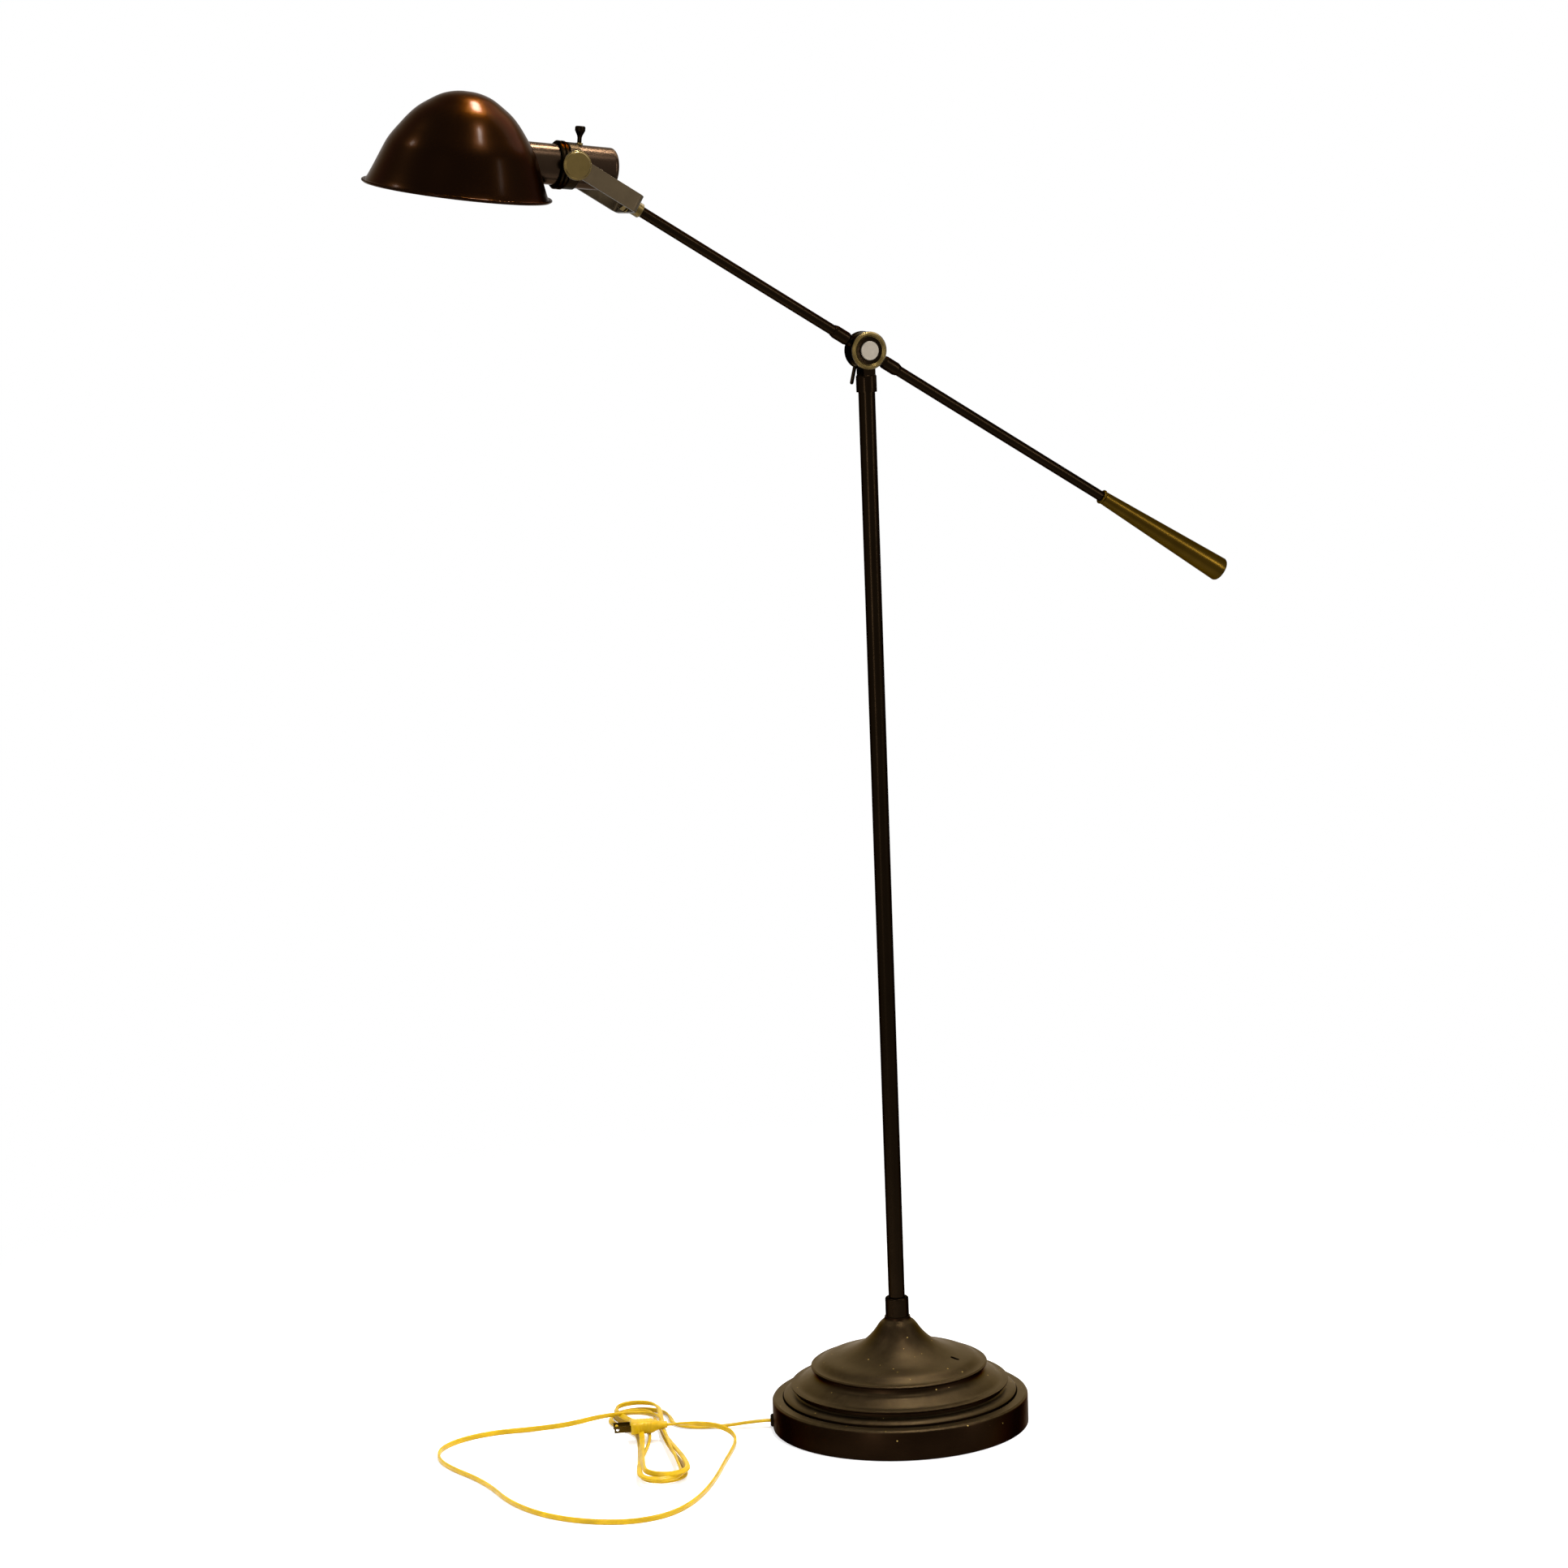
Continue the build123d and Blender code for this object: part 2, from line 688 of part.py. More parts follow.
def centre_contact():
    return head_frame * lying(bar(-holder_back, -holder_back + contact_height, contact_radius))


def bulb_cap():
    start = -holder_back + contact_height
    neck = start + contact_height
    end = start + bulb_cap_length
    outline = [(start, 0), (start, bulb_tip_radius - contact_height), (neck, bulb_tip_radius),
               (neck + contact_height, bulb_cap_radius - contact_height), (neck + 2 * contact_height,
               bulb_cap_radius), (end, bulb_cap_radius), (end, bulb_cap_radius - bulb_cap_wall),
               (neck + bulb_seal, bulb_cap_radius - bulb_cap_wall), (neck + bulb_seal, 0)]
    return head_frame * lying(closed(*outline))


bulb_length_shares = (0.14, 0.30, 0.46, 0.62)
bulb_radius_shares = (0.46, 0.60, 0.86, 1.0)


def bulb_glass():
    start = -holder_back + contact_height + bulb_cap_length
    end = -holder_back + contact_height + bulb_length
    points = [(start, bulb_cap_radius - contact_height / 2)]
    for length_share, radius_share in zip(bulb_length_shares, bulb_radius_shares):
        points.append((start + (end - start) * length_share, bulb_radius * radius_share))
    points.append((end, 0))
    return head_frame * lying(smooth_band(points, bulb_wall, (1, 0), (0, -1)))


def key_bush():
    ring = Circle(key_bush_radius) - Circle(key_stem + fit)
    seat = math.sqrt(cup_radius ** 2 - key_bush_radius ** 2)
    body = extrude(Plane.XY.offset(seat) * ring, cup_radius - seat + key_bush_height)
    body -= lying(bar(-cup_back, cup_back, cup_radius))
    body = Pos(key_place, 0, 0) * body
    return head_frame * body


knob_waist_share = 0.72
knob_top_share = 0.9


def switch_key():
    foot = switch_radius - key_depth + fit
    top = cup_radius + key_height
    cone = top - key_knob_height
    waist = cone - key_cone_height
    outline = [(0, foot), (key_stem, foot), (key_stem, waist), (key_knob_radius * knob_waist_share, cone),
               (key_knob_radius, top - key_knob_edge), (key_knob_radius * knob_top_share, top), (0, top)]
    return head_frame * Pos(key_place, 0, 0) * upright(closed(*outline))


# Cord
def cord_grommet():
    start = base_radius - grommet_depth
    end = base_radius + grommet_flange
    bevel = grommet_flange / 2
    hole = cord_diameter / 2 + fit
    outline = [(start, hole), (start, grommet_radius - fit), (base_radius, grommet_radius - fit),
               (base_radius, grommet_flange_radius), (end - bevel, grommet_flange_radius),
               (end, grommet_flange_radius - bevel), (end, hole)]
    return Rot(0, 0, grommet_bearing) * Pos(0, 0, grommet_height) * lying(closed(*outline))


def hank_frame():
    return Pos(*hank_waist, 0) * Rot(0, 0, hank_bearing)


def hank_turns():
    """Half turns of the hank, each (top or bottom, reach, radius, sideways shift, step, height)."""
    low = cord_diameter / 2
    high = low + cord_layer
    turns = []
    for step, height in ((0, low), (0.5, low), (1, low), (1, high), (0.5, high), (0, high)):
        top = len(turns) % 2 == 0
        reach = (top_reach if top else bottom_reach) - reach_step * step
        shift = 0 if height == low else turn_swing * (1 if top else -1)
        turns.append((top, reach, turn_radius - turn_step * step, shift, step, height))
    return turns


def arc_joint(start, heading, end, last_heading):
    """Point at which two arcs meet smoothly, one leaving the start and one reaching the end."""
    chord = end - start
    along = chord.dot(heading + last_heading)
    square = chord.dot(chord)
    spread = 2 * (1 - heading.dot(last_heading))
    if spread < tiny:
        reach = square / (2 * along)
    else:
        reach = (-along + math.sqrt(along * along + spread * square)) / spread
    return (start + heading * reach + end - last_heading * reach) * 0.5


def arc_from(start, heading, end):
    """Arc that leaves the start along the heading, as an edge and its last heading."""
    chord = end - start
    unit = chord.normalized()
    side = heading - unit * heading.dot(unit)
    last = unit * (2 * heading.dot(unit)) - heading
    if side.length < tiny:
        return Line(start, end), heading
    angle = math.atan2(side.length, heading.dot(unit))
    middle = (start + end) * 0.5 + side.normalized() * (chord.length / 2 * math.tan(angle / 2))
    return ThreePointArc(start, middle, end), last


def hank_stations():
    """Points and headings that the hank passes, in its own frame, X up its length and Y to its left."""
    stations = []
    before_step, before_height = None, None
    for top, reach, radius, shift, step, height in hank_turns():
        sign = 1 if top else -1
        centre = sign * (reach - radius)
        if stations:
            waist = waist_half - waist_step * (before_step + step) / 2
            stations.append((Vector(0, -sign * waist, (before_height + height) / 2), Vector(sign, 0, 0)))
        stations.append((Vector(centre, shift - sign * radius, height), Vector(sign, 0, 0)))
        stations.append((Vector(centre + sign * radius, shift, height), Vector(0, sign, 0)))
        stations.append((Vector(centre, shift + sign * radius, height), Vector(-sign, 0, 0)))
        before_step, before_height = step, height
    crossing = waist_half + waist_step / 4
    top_height = before_height + cord_layer
    stations.append((Vector(0, -crossing, before_height), Vector(1, 0, 0)))
    stations.append((Vector(last_climb, -crossing, top_height), Vector(1, 0, 0)))
    stations.append((Vector(last_climb + last_radius, last_radius - crossing, top_height), Vector(0, 1, 0)))
    return stations


def hank_edges():
    stations = hank_stations()
    edges = []
    for (start, heading), (end, last_heading) in zip(stations, stations[1:]):
        joint = arc_joint(start, heading, end, last_heading)
        first, joint_heading = arc_from(start, heading, joint)
        second, _ = arc_from(joint, joint_heading, end)
        edges += [first, second]
    return edges


def least_gap(edges):
    """Smallest air between turns of the hank, measured on points along its centre line."""
    step = cord_diameter / 2
    places = []
    travelled = 0
    for edge in edges:
        count = max(2, int(edge.length / step))
        for index in range(count):
            places.append((travelled + edge.length * index / count, edge @ (index / count)))
        travelled += edge.length
    least = math.inf
    for index, (place, point) in enumerate(places):
        for other_place, other in places[index + 1:]:
            if other_place - place > 4 * cord_diameter:
                least = min(least, (point - other).length - cord_diameter)
    return least, travelled


def round_tube(path):
    section = Plane(origin=path @ 0, z_dir=path % 0) * Circle(cord_diameter / 2)
    return sweep(section, path)


def cord_hank():
    edges = hank_edges()
    gap, length = least_gap(edges)
    radii = [edge.radius for edge in edges if edge.geom_type == GeomType.CIRCLE]
    body = round_tube(Wire(edges))
    expected = math.pi * (cord_diameter / 2) ** 2 * length
    print("hank: length", round(length), "least gap", round(gap, 2), "least radius", round(min(radii), 1),
          "volume share", round(body.volume / expected, 4))
    return hank_frame() * body


def free_stretch(name, points):
    radii = []
    for before, corner, after in zip(points, points[1:], points[2:]):
        incoming = Vector(*corner) - Vector(*before)
        outgoing = Vector(*after) - Vector(*corner)
        half_turn = math.radians(incoming.get_angle(outgoing)) / 2
        radii.append(arc_share * min(incoming.length, outgoing.length) / math.tan(half_turn))
    path = FilletPolyline(*points, radius=radii)
    body = round_tube(path)
    expected = math.pi * (cord_diameter / 2) ** 2 * path.length
    print(name + ": length", round(path.length), "radii", [round(radius) for radius in radii],
          "volume share", round(body.volume / expected, 4))
    return body


def hank_end(index):
    """Place and heading of the hank's first or last point, in the part's frame."""
    point, heading = hank_stations()[index]
    frame = hank_frame()
    place = (frame * Pos(*point)).position
    ahead = (frame * Pos(*(point + heading))).position
    return place, (ahead - place).normalized()


def cord_run():
    turn = math.radians(grommet_bearing)
    face = base_radius + grommet_flange
    start = (face * math.cos(turn), face * math.sin(turn), grommet_height)
    end, heading = hank_end(0)
    return free_stretch("run", [start, *run_points, tuple(end - heading * run_lead), tuple(end)])


def plug_frame():
    """The plug lies level across the hank's waist, on the second layer, blades to the left."""
    height = cord_diameter + cord_layer + plug_height / 2 + fit
    return hank_frame() * Pos(-plug_back, waist_step / 4, height) * Rot(0, 0, 90)


def cord_loop():
    start, heading = hank_end(-1)
    frame = plug_frame()
    end = (frame * Pos(-plug_length / 2 - plug_neck_length, 0, 0)).position
    lead = (frame * Pos(-plug_length / 2 - plug_neck_length - plug_lead, 0, 0)).position
    first = start + heading * loop_lead
    return free_stretch("loop", [tuple(start), tuple(first), *loop_points, tuple(lead), tuple(end)])


def plug_body():
    body = fillet(Box(plug_length, plug_width, plug_height).edges(), plug_round)
    start = -plug_length / 2
    body += lying(closed((start, 0), (start, plug_neck_radius), (start - plug_neck_length, plug_neck_tip),
                         (start - plug_neck_length, 0)))
    return plug_frame() * body


def plug_blades():
    blades = []
    for side in (-1, 1):
        blade = Pos(plug_length / 2 + blade_length / 2, side * blade_spacing / 2, 0)
        blade *= Box(blade_length, blade_thickness, blade_width)
        hole = Pos(plug_length / 2 + blade_length - blade_hole, side * blade_spacing / 2, 0) * Rot(90, 0, 0)
        blades.append(plug_frame() * (blade - hole * Cylinder(blade_hole / 2, plug_width)))
    return blades


# Neck and shade
def neck_bead():
    start = ring_front + slip
    middle = start + bead_length
    end = middle + bead_length
    dip = bead_length / 4
    inner = neck_radius + fit
    outline = [(start, inner), (start, bead_radius - dip), (start + dip, bead_radius),
               (middle - dip, bead_radius), (middle, bead_radius - dip), (middle + dip, bead_radius),
               (end - dip, bead_radius), (end, bead_radius - dip), (end, inner)]
    return head_frame * Rot(shade_roll, 0, 0) * lying(closed(*outline))


def neck_tube():
    start = ring_front + slip
    return head_frame * Rot(shade_roll, 0, 0) * lying(tube(start, neck_front, neck_radius,
                                                          neck_radius - neck_wall))


shade_radius_shares = (0.941, 0.809, 0.676, 0.635, 0.486, 0.394, 0.255, 0.108)
shade_height_shares = (0.094, 0.404, 0.607, 0.660, 0.815, 0.878, 0.956, 0.995)
rim_direction = (-1, 1)
side_direction = (-0.42, 1)


def shade_points():
    points = [(shade_rim_radius, 0)]
    for radius_share, height_share in zip(shade_radius_shares, shade_height_shares):
        points.append((shade_rim_radius * radius_share, shade_height * height_share))
    points.append((0, shade_height))
    return points


def shade():
    points = shade_points()
    lip = smooth_band(points[:3], -shade_wall, rim_direction, side_direction)
    body = smooth_band(points[2:], -shade_wall, side_direction, (-1, 0))
    bead = Pos(shade_rim_radius, rim_bead) * Circle(rim_bead)
    shell = upright(lip) + upright(body) + upright(bead)
    hole = Pos(0, 0, shade_drop) * Rot(0, 90, 0) * Cylinder(neck_radius + fit, shade_place,
                                                           align=(Align.CENTER, Align.CENTER, Align.MAX))
    return shade_frame * (shell - hole)


pieces = {
    "base_felt_pad": base_felt_pad,
    "base_weight": base_weight,
    "base_drum": base_drum,
    "base_cover": base_cover,
    "base_nipple": base_nipple,
    "base_washer": base_washer,
    "base_nut": base_nut,
    "cord_grommet": cord_grommet,
    "cord_run": cord_run,
    "cord_hank": cord_hank,
    "cord_loop": cord_loop,
    "plug_body": plug_body,
    "plug_blades": plug_blades,
    "pole_collar": pole_collar,
    "pole": pole,
    "pole_foot_plug": pole_foot_plug,
    "knuckle_fork": knuckle_fork,
    "knuckle_washers": knuckle_washers,
    "knuckle_bezel": knuckle_bezel,
    "pivot_bolt": pivot_bolt,
    "lever_hub": lever_hub,
    "lever_bar": lever_bar,
    "lever_nut": lever_nut,
    "arm_hub": arm_hub,
    "front_arm_tube": front_arm_tube,
    "rear_arm_tube": rear_arm_tube,
    "weight_joint_ring": weight_joint_ring,
    "counterweight": counterweight,
    "yoke_coupling": yoke_coupling,
    "yoke": yoke,
    "yoke_nipple": yoke_nipple_tube,
    "yoke_nut_ring": yoke_nut_ring,
    "yoke_lock_nut": yoke_lock_nut,
    "socket_cup": socket_cup,
    "socket_ring": socket_ring,
    "yoke_washers": yoke_washers,
    "pivot_screws": pivot_screws,
    "switch_body": switch_body,
    "lampholder_liner": lampholder_liner,
    "lampholder_shell": lampholder_shell,
    "centre_contact": centre_contact,
    "bulb_cap": bulb_cap,
    "bulb_glass": bulb_glass,
    "key_bush": key_bush,
    "switch_key": switch_key,
    "neck_bead": neck_bead,
    "neck_tube": neck_tube,
    "shade": shade,
}

os.makedirs("parts", exist_ok=True)
for name, make in pieces.items():
    write(name, make())
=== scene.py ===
"""Looks of the adjustable floor reading lamp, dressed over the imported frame. Lengths are in metres."""

import json
import math

import bmesh
import bpy
from bpy.props import FloatProperty, FloatVectorProperty, IntProperty, PointerProperty
from mathutils import Matrix, Vector


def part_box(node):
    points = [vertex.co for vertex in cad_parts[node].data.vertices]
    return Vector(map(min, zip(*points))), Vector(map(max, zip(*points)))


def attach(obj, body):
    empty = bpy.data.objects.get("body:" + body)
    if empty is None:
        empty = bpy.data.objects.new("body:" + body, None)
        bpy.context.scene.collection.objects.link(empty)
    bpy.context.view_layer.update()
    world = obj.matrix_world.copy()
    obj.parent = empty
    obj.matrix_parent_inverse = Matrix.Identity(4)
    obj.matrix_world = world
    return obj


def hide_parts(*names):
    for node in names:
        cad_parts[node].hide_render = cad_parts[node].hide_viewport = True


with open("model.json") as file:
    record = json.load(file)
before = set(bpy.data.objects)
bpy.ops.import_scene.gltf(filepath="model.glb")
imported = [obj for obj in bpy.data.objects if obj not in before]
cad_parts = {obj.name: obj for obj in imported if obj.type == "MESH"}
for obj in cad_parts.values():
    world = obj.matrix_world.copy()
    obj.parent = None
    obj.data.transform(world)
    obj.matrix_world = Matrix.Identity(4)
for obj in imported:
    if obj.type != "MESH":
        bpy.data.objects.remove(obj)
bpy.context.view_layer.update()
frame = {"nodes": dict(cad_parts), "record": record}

bl_info = {
    "name": "Floor reading lamp",
    "version": (1, 0, 0),
    "blender": (4, 5, 0),
    "location": "View3D > Sidebar > Reading lamp",
    "description": "Dresses the packed frame of an adjustable floor reading lamp",
    "category": "Object",
}

MM = 0.001


# Colour and node helpers
def linear(code):
    """Linear colour of an sRGB hex value."""
    parts = [int(code[i:i + 2], 16) / 255 for i in (1, 3, 5)]
    return tuple(c / 12.92 if c <= 0.04045 else ((c + 0.055) / 1.055) ** 2.4 for c in parts)


def add_node(tree, kind, sockets=None, **settings):
    """Adds a node with its settings; a socket's value is a number, a colour or another node's output."""
    made = tree.nodes.new(kind)
    for name, value in settings.items():
        setattr(made, name, value)
    for name, value in (sockets or {}).items():
        if isinstance(value, bpy.types.NodeSocket):
            tree.links.new(value, made.inputs[name])
        else:
            made.inputs[name].default_value = value
    return made


def new_material(name):
    """A material with an empty tree, that tree and the object's coordinates in it."""
    material = bpy.data.materials.new(name)
    material.use_nodes = True
    tree = material.node_tree
    tree.nodes.clear()
    return material, tree, add_node(tree, "ShaderNodeTexCoord").outputs["Object"]


def noise(tree, place, size_mm, **sockets):
    return add_node(tree, "ShaderNodeTexNoise", {"Vector": place, "Scale": 1 / (size_mm * MM),
                                                 **sockets}).outputs["Fac"]


def remap(tree, value, start, end, new_start=0.0, new_end=1.0, **settings):
    """The value's stretch from start to end, moved to a new stretch and held at its ends."""
    return add_node(tree, "ShaderNodeMapRange", {"Value": value, "From Min": start, "From Max": end,
                                                 "To Min": new_start, "To Max": new_end},
                    **settings).outputs["Result"]


def combine(tree, operation, first, second):
    return add_node(tree, "ShaderNodeMath", {0: first, 1: second}, operation=operation).outputs["Value"]


def blend(tree, share, first, second):
    """Colour between two colours."""
    return add_node(tree, "ShaderNodeMix", {0: share, 6: first, 7: second}, data_type="RGBA").outputs[2]


def relief(tree, height, depth_mm):
    return add_node(tree, "ShaderNodeBump", {"Height": height, "Strength": 1.0,
                                             "Distance": depth_mm * MM}).outputs["Normal"]


def add_surface(tree, sockets):
    """The surface shader with its sockets, joined to the material's output."""
    shader = add_node(tree, "ShaderNodeBsdfPrincipled", sockets)
    add_node(tree, "ShaderNodeOutputMaterial", {"Surface": shader.outputs["BSDF"]})
    return shader


def shaded(colour, share=1):
    """An opaque colour, darker or lighter by a share."""
    return (*(min(1, c * share) for c in colour), 1)


# Settings
def colour_setting(name, code, description):
    return FloatVectorProperty(name=name, description=description, subtype="COLOR", size=3, min=0, max=1,
                               default=linear(code))


def length_setting(name, value, description):
    return FloatProperty(name=name, description=description, default=value, min=0, unit="LENGTH", precision=5)


def angle_setting(name, degrees, description):
    return FloatProperty(name=name, description=description, default=math.radians(degrees), subtype="ANGLE")


def level_setting(name, value, description):
    return FloatProperty(name=name, description=description, default=value, min=0)


def count_setting(name, value, description):
    return IntProperty(name=name, description=description, default=value, min=1)


class LampFinishes(bpy.types.PropertyGroup):
    bronze: colour_setting("Base bronze", "#160d06", "Satin oil-rubbed bronze of the spun base")
    black_bronze: colour_setting("Tube bronze", "#150e07", "Dark lacquered bronze of the pole and arm")
    copper_bronze: colour_setting("Neck bronze", "#2b2017", "Reddish bronze of the cup and neck")
    shade: colour_setting("Shade", "#110601", "Brown lacquer of the shade")
    lining: colour_setting("Shade lining", "#e9e2d2", "Enamel inside the shade")
    brass: colour_setting("Antique brass", "#574828", "Aged brass of rings, nuts and caps")
    olive_brass: colour_setting("Counterweight", "#3a2a08", "Dark brass of the counterweight")
    plate: colour_setting("Yoke plate", "#453a2a", "Weathered plate of the yoke")
    nickel: colour_setting("Bolt face", "#8b8275", "Pale face of the pivot bolt")
    flex: colour_setting("Flex", "#c39c02", "Gold insulation of the twin flex")
    felt: colour_setting("Felt", "#26301f", "Felt under the base")


class LampSizes(bpy.types.PropertyGroup):
    edge: length_setting("Edge", 0.45 * MM, "Width of the softened edges on flat hardware")
    flex_width: length_setting("Flex width", 5.4 * MM, "Width of the flat twin flex")
    flex_thickness: length_setting("Flex thickness", 2.7 * MM, "Thickness of the flat twin flex")
    flex_length: length_setting("Flex length", 2.63, "Length of the flex from the base to its plug")
    key_ridges: count_setting("Key ridges", 24, "Ridges round the knob of the switch key")
    thread_pitch: length_setting("Thread pitch", 3.6 * MM, "Pitch of the lampholder's screw thread")
    plug_ribs: count_setting("Plug ribs", 5, "Grip ribs on each side of the plug")


class LampStage(bpy.types.PropertyGroup):
    place: FloatVectorProperty(name="Camera place", description="Where the camera stands", unit="LENGTH",
                               subtype="TRANSLATION", default=(-1.6905, -3.6252, 1.25))
    azimuth: angle_setting("Camera heading", 23.69, "Turn of the camera from straight ahead")
    pitch: angle_setting("Camera pitch", 8.73, "Downward tilt of the camera")
    roll: angle_setting("Camera roll", 2.10, "Roll of the camera")
    lens: level_setting("Lens", 97.11, "Focal length of the camera in millimetres")
    strips: level_setting("Strip lamps", 46, "Power of each of the two upright strip lamps in watts")
    top: level_setting("Top lamp", 7, "Power of the narrow lamp high over the knuckle in watts")
    side: level_setting("Side lamp", 24, "Power of the broad lamp on the right in watts")
    front: level_setting("Front lamp", 26, "Power of the small lamp high in front in watts")
    left: level_setting("Left lamp", 8, "Power of the small lamp beyond the shade in watts")
    sky: level_setting("Ambient light", 0.38, "Strength of the even light from all sides")


# Materials
def worn_surface(name, colour, dark_share, patch_mm, roughness, metallic=1.0, relief_mm=0.0, grain_mm=1.0,
                 coat=0.0, edge_tint=(1, 1, 1)):
    """Metal, lacquer or board whose tone and gloss drift in soft patches, over a relief if it has a depth."""
    material, tree, place = new_material(name)
    patches = noise(tree, place, patch_mm, Detail=4.0, Roughness=0.6)
    dark_end = 0.3
    light_end = 0.7
    tones = add_node(tree, "ShaderNodeValToRGB", {"Fac": patches})
    dark, light = tones.color_ramp.elements
    dark.position = dark_end
    dark.color = shaded(colour, dark_share)
    light.position = light_end
    light.color = shaded(colour)
    gloss = remap(tree, patches, dark_end, light_end, roughness[1], roughness[0])
    shader = add_surface(tree, {"Base Color": tones.outputs["Color"], "Metallic": metallic,
                                "Roughness": gloss, "Coat Weight": coat, "Coat Roughness": 0.16,
                                "Specular Tint": shaded(edge_tint)})
    if relief_mm:
        grain = noise(tree, place, grain_mm, Detail=1.0)
        tree.links.new(relief(tree, grain, relief_mm), shader.inputs["Normal"])
    return material


def base_bronze(colour):
    """Satin oil-rubbed bronze on spun steel: soft lights, dust that has settled on what faces up, and a
    painted sheen, as faces turned up reflect more brightly at a slant than the walls.
    """
    material = worn_surface("oil_rubbed_bronze", colour, dark_share=0.7, patch_mm=45, roughness=(0.34, 0.42),
                            relief_mm=0.003, grain_mm=0.7)
    dust = shaded(linear("#8f7a55"))
    speck = shaded(linear("#8a7442"))
    most_dust = 0.14
    bare_share = 0.35
    largest_speck = 0.115
    steepest = 0.15
    # Edge reflection of the walls and of faces turned up; the brighter one on top is a painted sheen, not
    # dust
    wall_tint = (0.4, 0.33, 0.27, 1)
    painted_top_sheen = (1.0, 0.83, 0.62, 1)
    tree = material.node_tree
    shader = next(node for node in tree.nodes if node.type == "BSDF_PRINCIPLED")
    bare = shader.inputs["Base Color"].links[0].from_socket
    gloss = shader.inputs["Roughness"].links[0].from_socket
    place = add_node(tree, "ShaderNodeTexCoord").outputs
    rise = add_node(tree, "ShaderNodeSeparateXYZ", {"Vector": place["Normal"]}).outputs["Z"]
    upward = remap(tree, rise, 0.25, 0.95)
    haze = noise(tree, place["Object"], 9, Detail=8.0, Roughness=0.75)
    film = combine(tree, "MULTIPLY", upward, remap(tree, haze, 0.0, 1.0, 0.0, most_dust))
    grains = add_node(tree, "ShaderNodeTexVoronoi", {"Vector": place["Object"], "Scale": 1 / (7 * MM)})
    chance = add_node(tree, "ShaderNodeSeparateColor", {"Color": grains.outputs["Color"]}).outputs["Red"]
    size = remap(tree, chance, bare_share, 1.0, 0.0, largest_speck)
    specks = combine(tree, "LESS_THAN", grains.outputs["Distance"], size)
    lying = combine(tree, "MULTIPLY", specks, combine(tree, "GREATER_THAN", rise, steepest))
    speckled = blend(tree, lying, blend(tree, film, bare, dust), speck)
    tree.links.new(speckled, shader.inputs["Base Color"])
    tree.links.new(combine(tree, "ADD", gloss, film), shader.inputs["Roughness"])
    # Painted sheen: the more a face turns up, the brighter its reflection at a slant
    tree.links.new(blend(tree, upward, wall_tint, painted_top_sheen), shader.inputs["Specular Tint"])
    return material


def tube_bronze(colour):
    """Nearly black bronze lacquer on drawn tube: long sharp lights on a dark ground."""
    return worn_surface("black_bronze_lacquer", colour, dark_share=0.7, patch_mm=60, roughness=(0.22, 0.3),
                        relief_mm=0.0015, grain_mm=1.2, edge_tint=(0.4, 0.37, 0.32))


def neck_bronze(colour):
    """Polished reddish bronze: broad pink and copper lights beside dark bands."""
    return worn_surface("copper_bronze", colour, dark_share=0.75, patch_mm=30, roughness=(0.2, 0.28),
                        relief_mm=0.0015, edge_tint=(0.62, 0.56, 0.52))


def blackened_bronze(colour):
    """Blackened bronze of the ring on the cup and of the bush for the flex, duller than the tubes."""
    return worn_surface("blackened_bronze", colour, dark_share=0.7, patch_mm=30, roughness=(0.3, 0.38),
                        relief_mm=0.0015, edge_tint=(0.55, 0.54, 0.52))


def shade_bronze(colour):
    """Brown lacquer on a spun shade: a warm glow in the brown under small hard lights from the clear coat."""
    return worn_surface("shade_lacquer", colour, dark_share=0.75, patch_mm=60, roughness=(0.28, 0.36),
                        relief_mm=0.001, grain_mm=1.6, coat=0.02, edge_tint=(0.58, 0.51, 0.46))


def shade_lining(colour):
    """Stoved enamel inside the shade: warm white and even."""
    return worn_surface("lining_enamel", colour, dark_share=0.94, patch_mm=30, roughness=(0.35, 0.42),
                        metallic=0.0, relief_mm=0.01, grain_mm=1.5)


def antique_brass(colour):
    """Aged brass: gold where it is handled, brown where it has tarnished."""
    return worn_surface("antique_brass", colour, dark_share=0.7, patch_mm=16, roughness=(0.3, 0.38))


def counterweight_brass(colour):
    """Dark olive brass under lacquer: one gold light along the cone."""
    return worn_surface("olive_brass", colour, dark_share=0.7, patch_mm=40, roughness=(0.22, 0.3),
                        relief_mm=0.0015, edge_tint=(0.5, 0.47, 0.4))


def weathered_plate(colour):
    """Bronze plate worn to a dull olive grey in small patches."""
    return worn_surface("weathered_bronze_plate", colour, dark_share=0.8, patch_mm=14, roughness=(0.42, 0.5),
                        metallic=0.95)


def pale_nickel(colour):
    """Satin nickel on a turned bolt head."""
    return worn_surface("satin_nickel", colour, dark_share=0.9, patch_mm=8, roughness=(0.5, 0.56),
                        metallic=0.8)


def cast_iron(colour):
    """Rough grey cast iron of the weight inside the base."""
    return worn_surface("cast_iron", colour, dark_share=0.6, patch_mm=5, roughness=(0.6, 0.8), metallic=0.4,
                        relief_mm=0.12, grain_mm=1.4)


def zinc_steel(colour):
    """Zinc-plated steel: pale, slightly yellow and dull."""
    return worn_surface("zinc_plated_steel", colour, dark_share=0.75, patch_mm=5, roughness=(0.3, 0.45),
                        relief_mm=0.006, grain_mm=0.5)


def dark_phenolic(colour):
    """Pressed phenolic of the switch: nearly black with a low shine."""
    return worn_surface("phenolic", colour, dark_share=0.8, patch_mm=4, roughness=(0.35, 0.5), metallic=0.0,
                        relief_mm=0.01, grain_mm=0.8)


def pressed_card(colour):
    """Insulating card sleeve: grey-brown, matt and fibrous."""
    return worn_surface("pressed_card", colour, dark_share=0.75, patch_mm=2.5, roughness=(0.8, 0.9),
                        metallic=0.0, relief_mm=0.05, grain_mm=0.35)


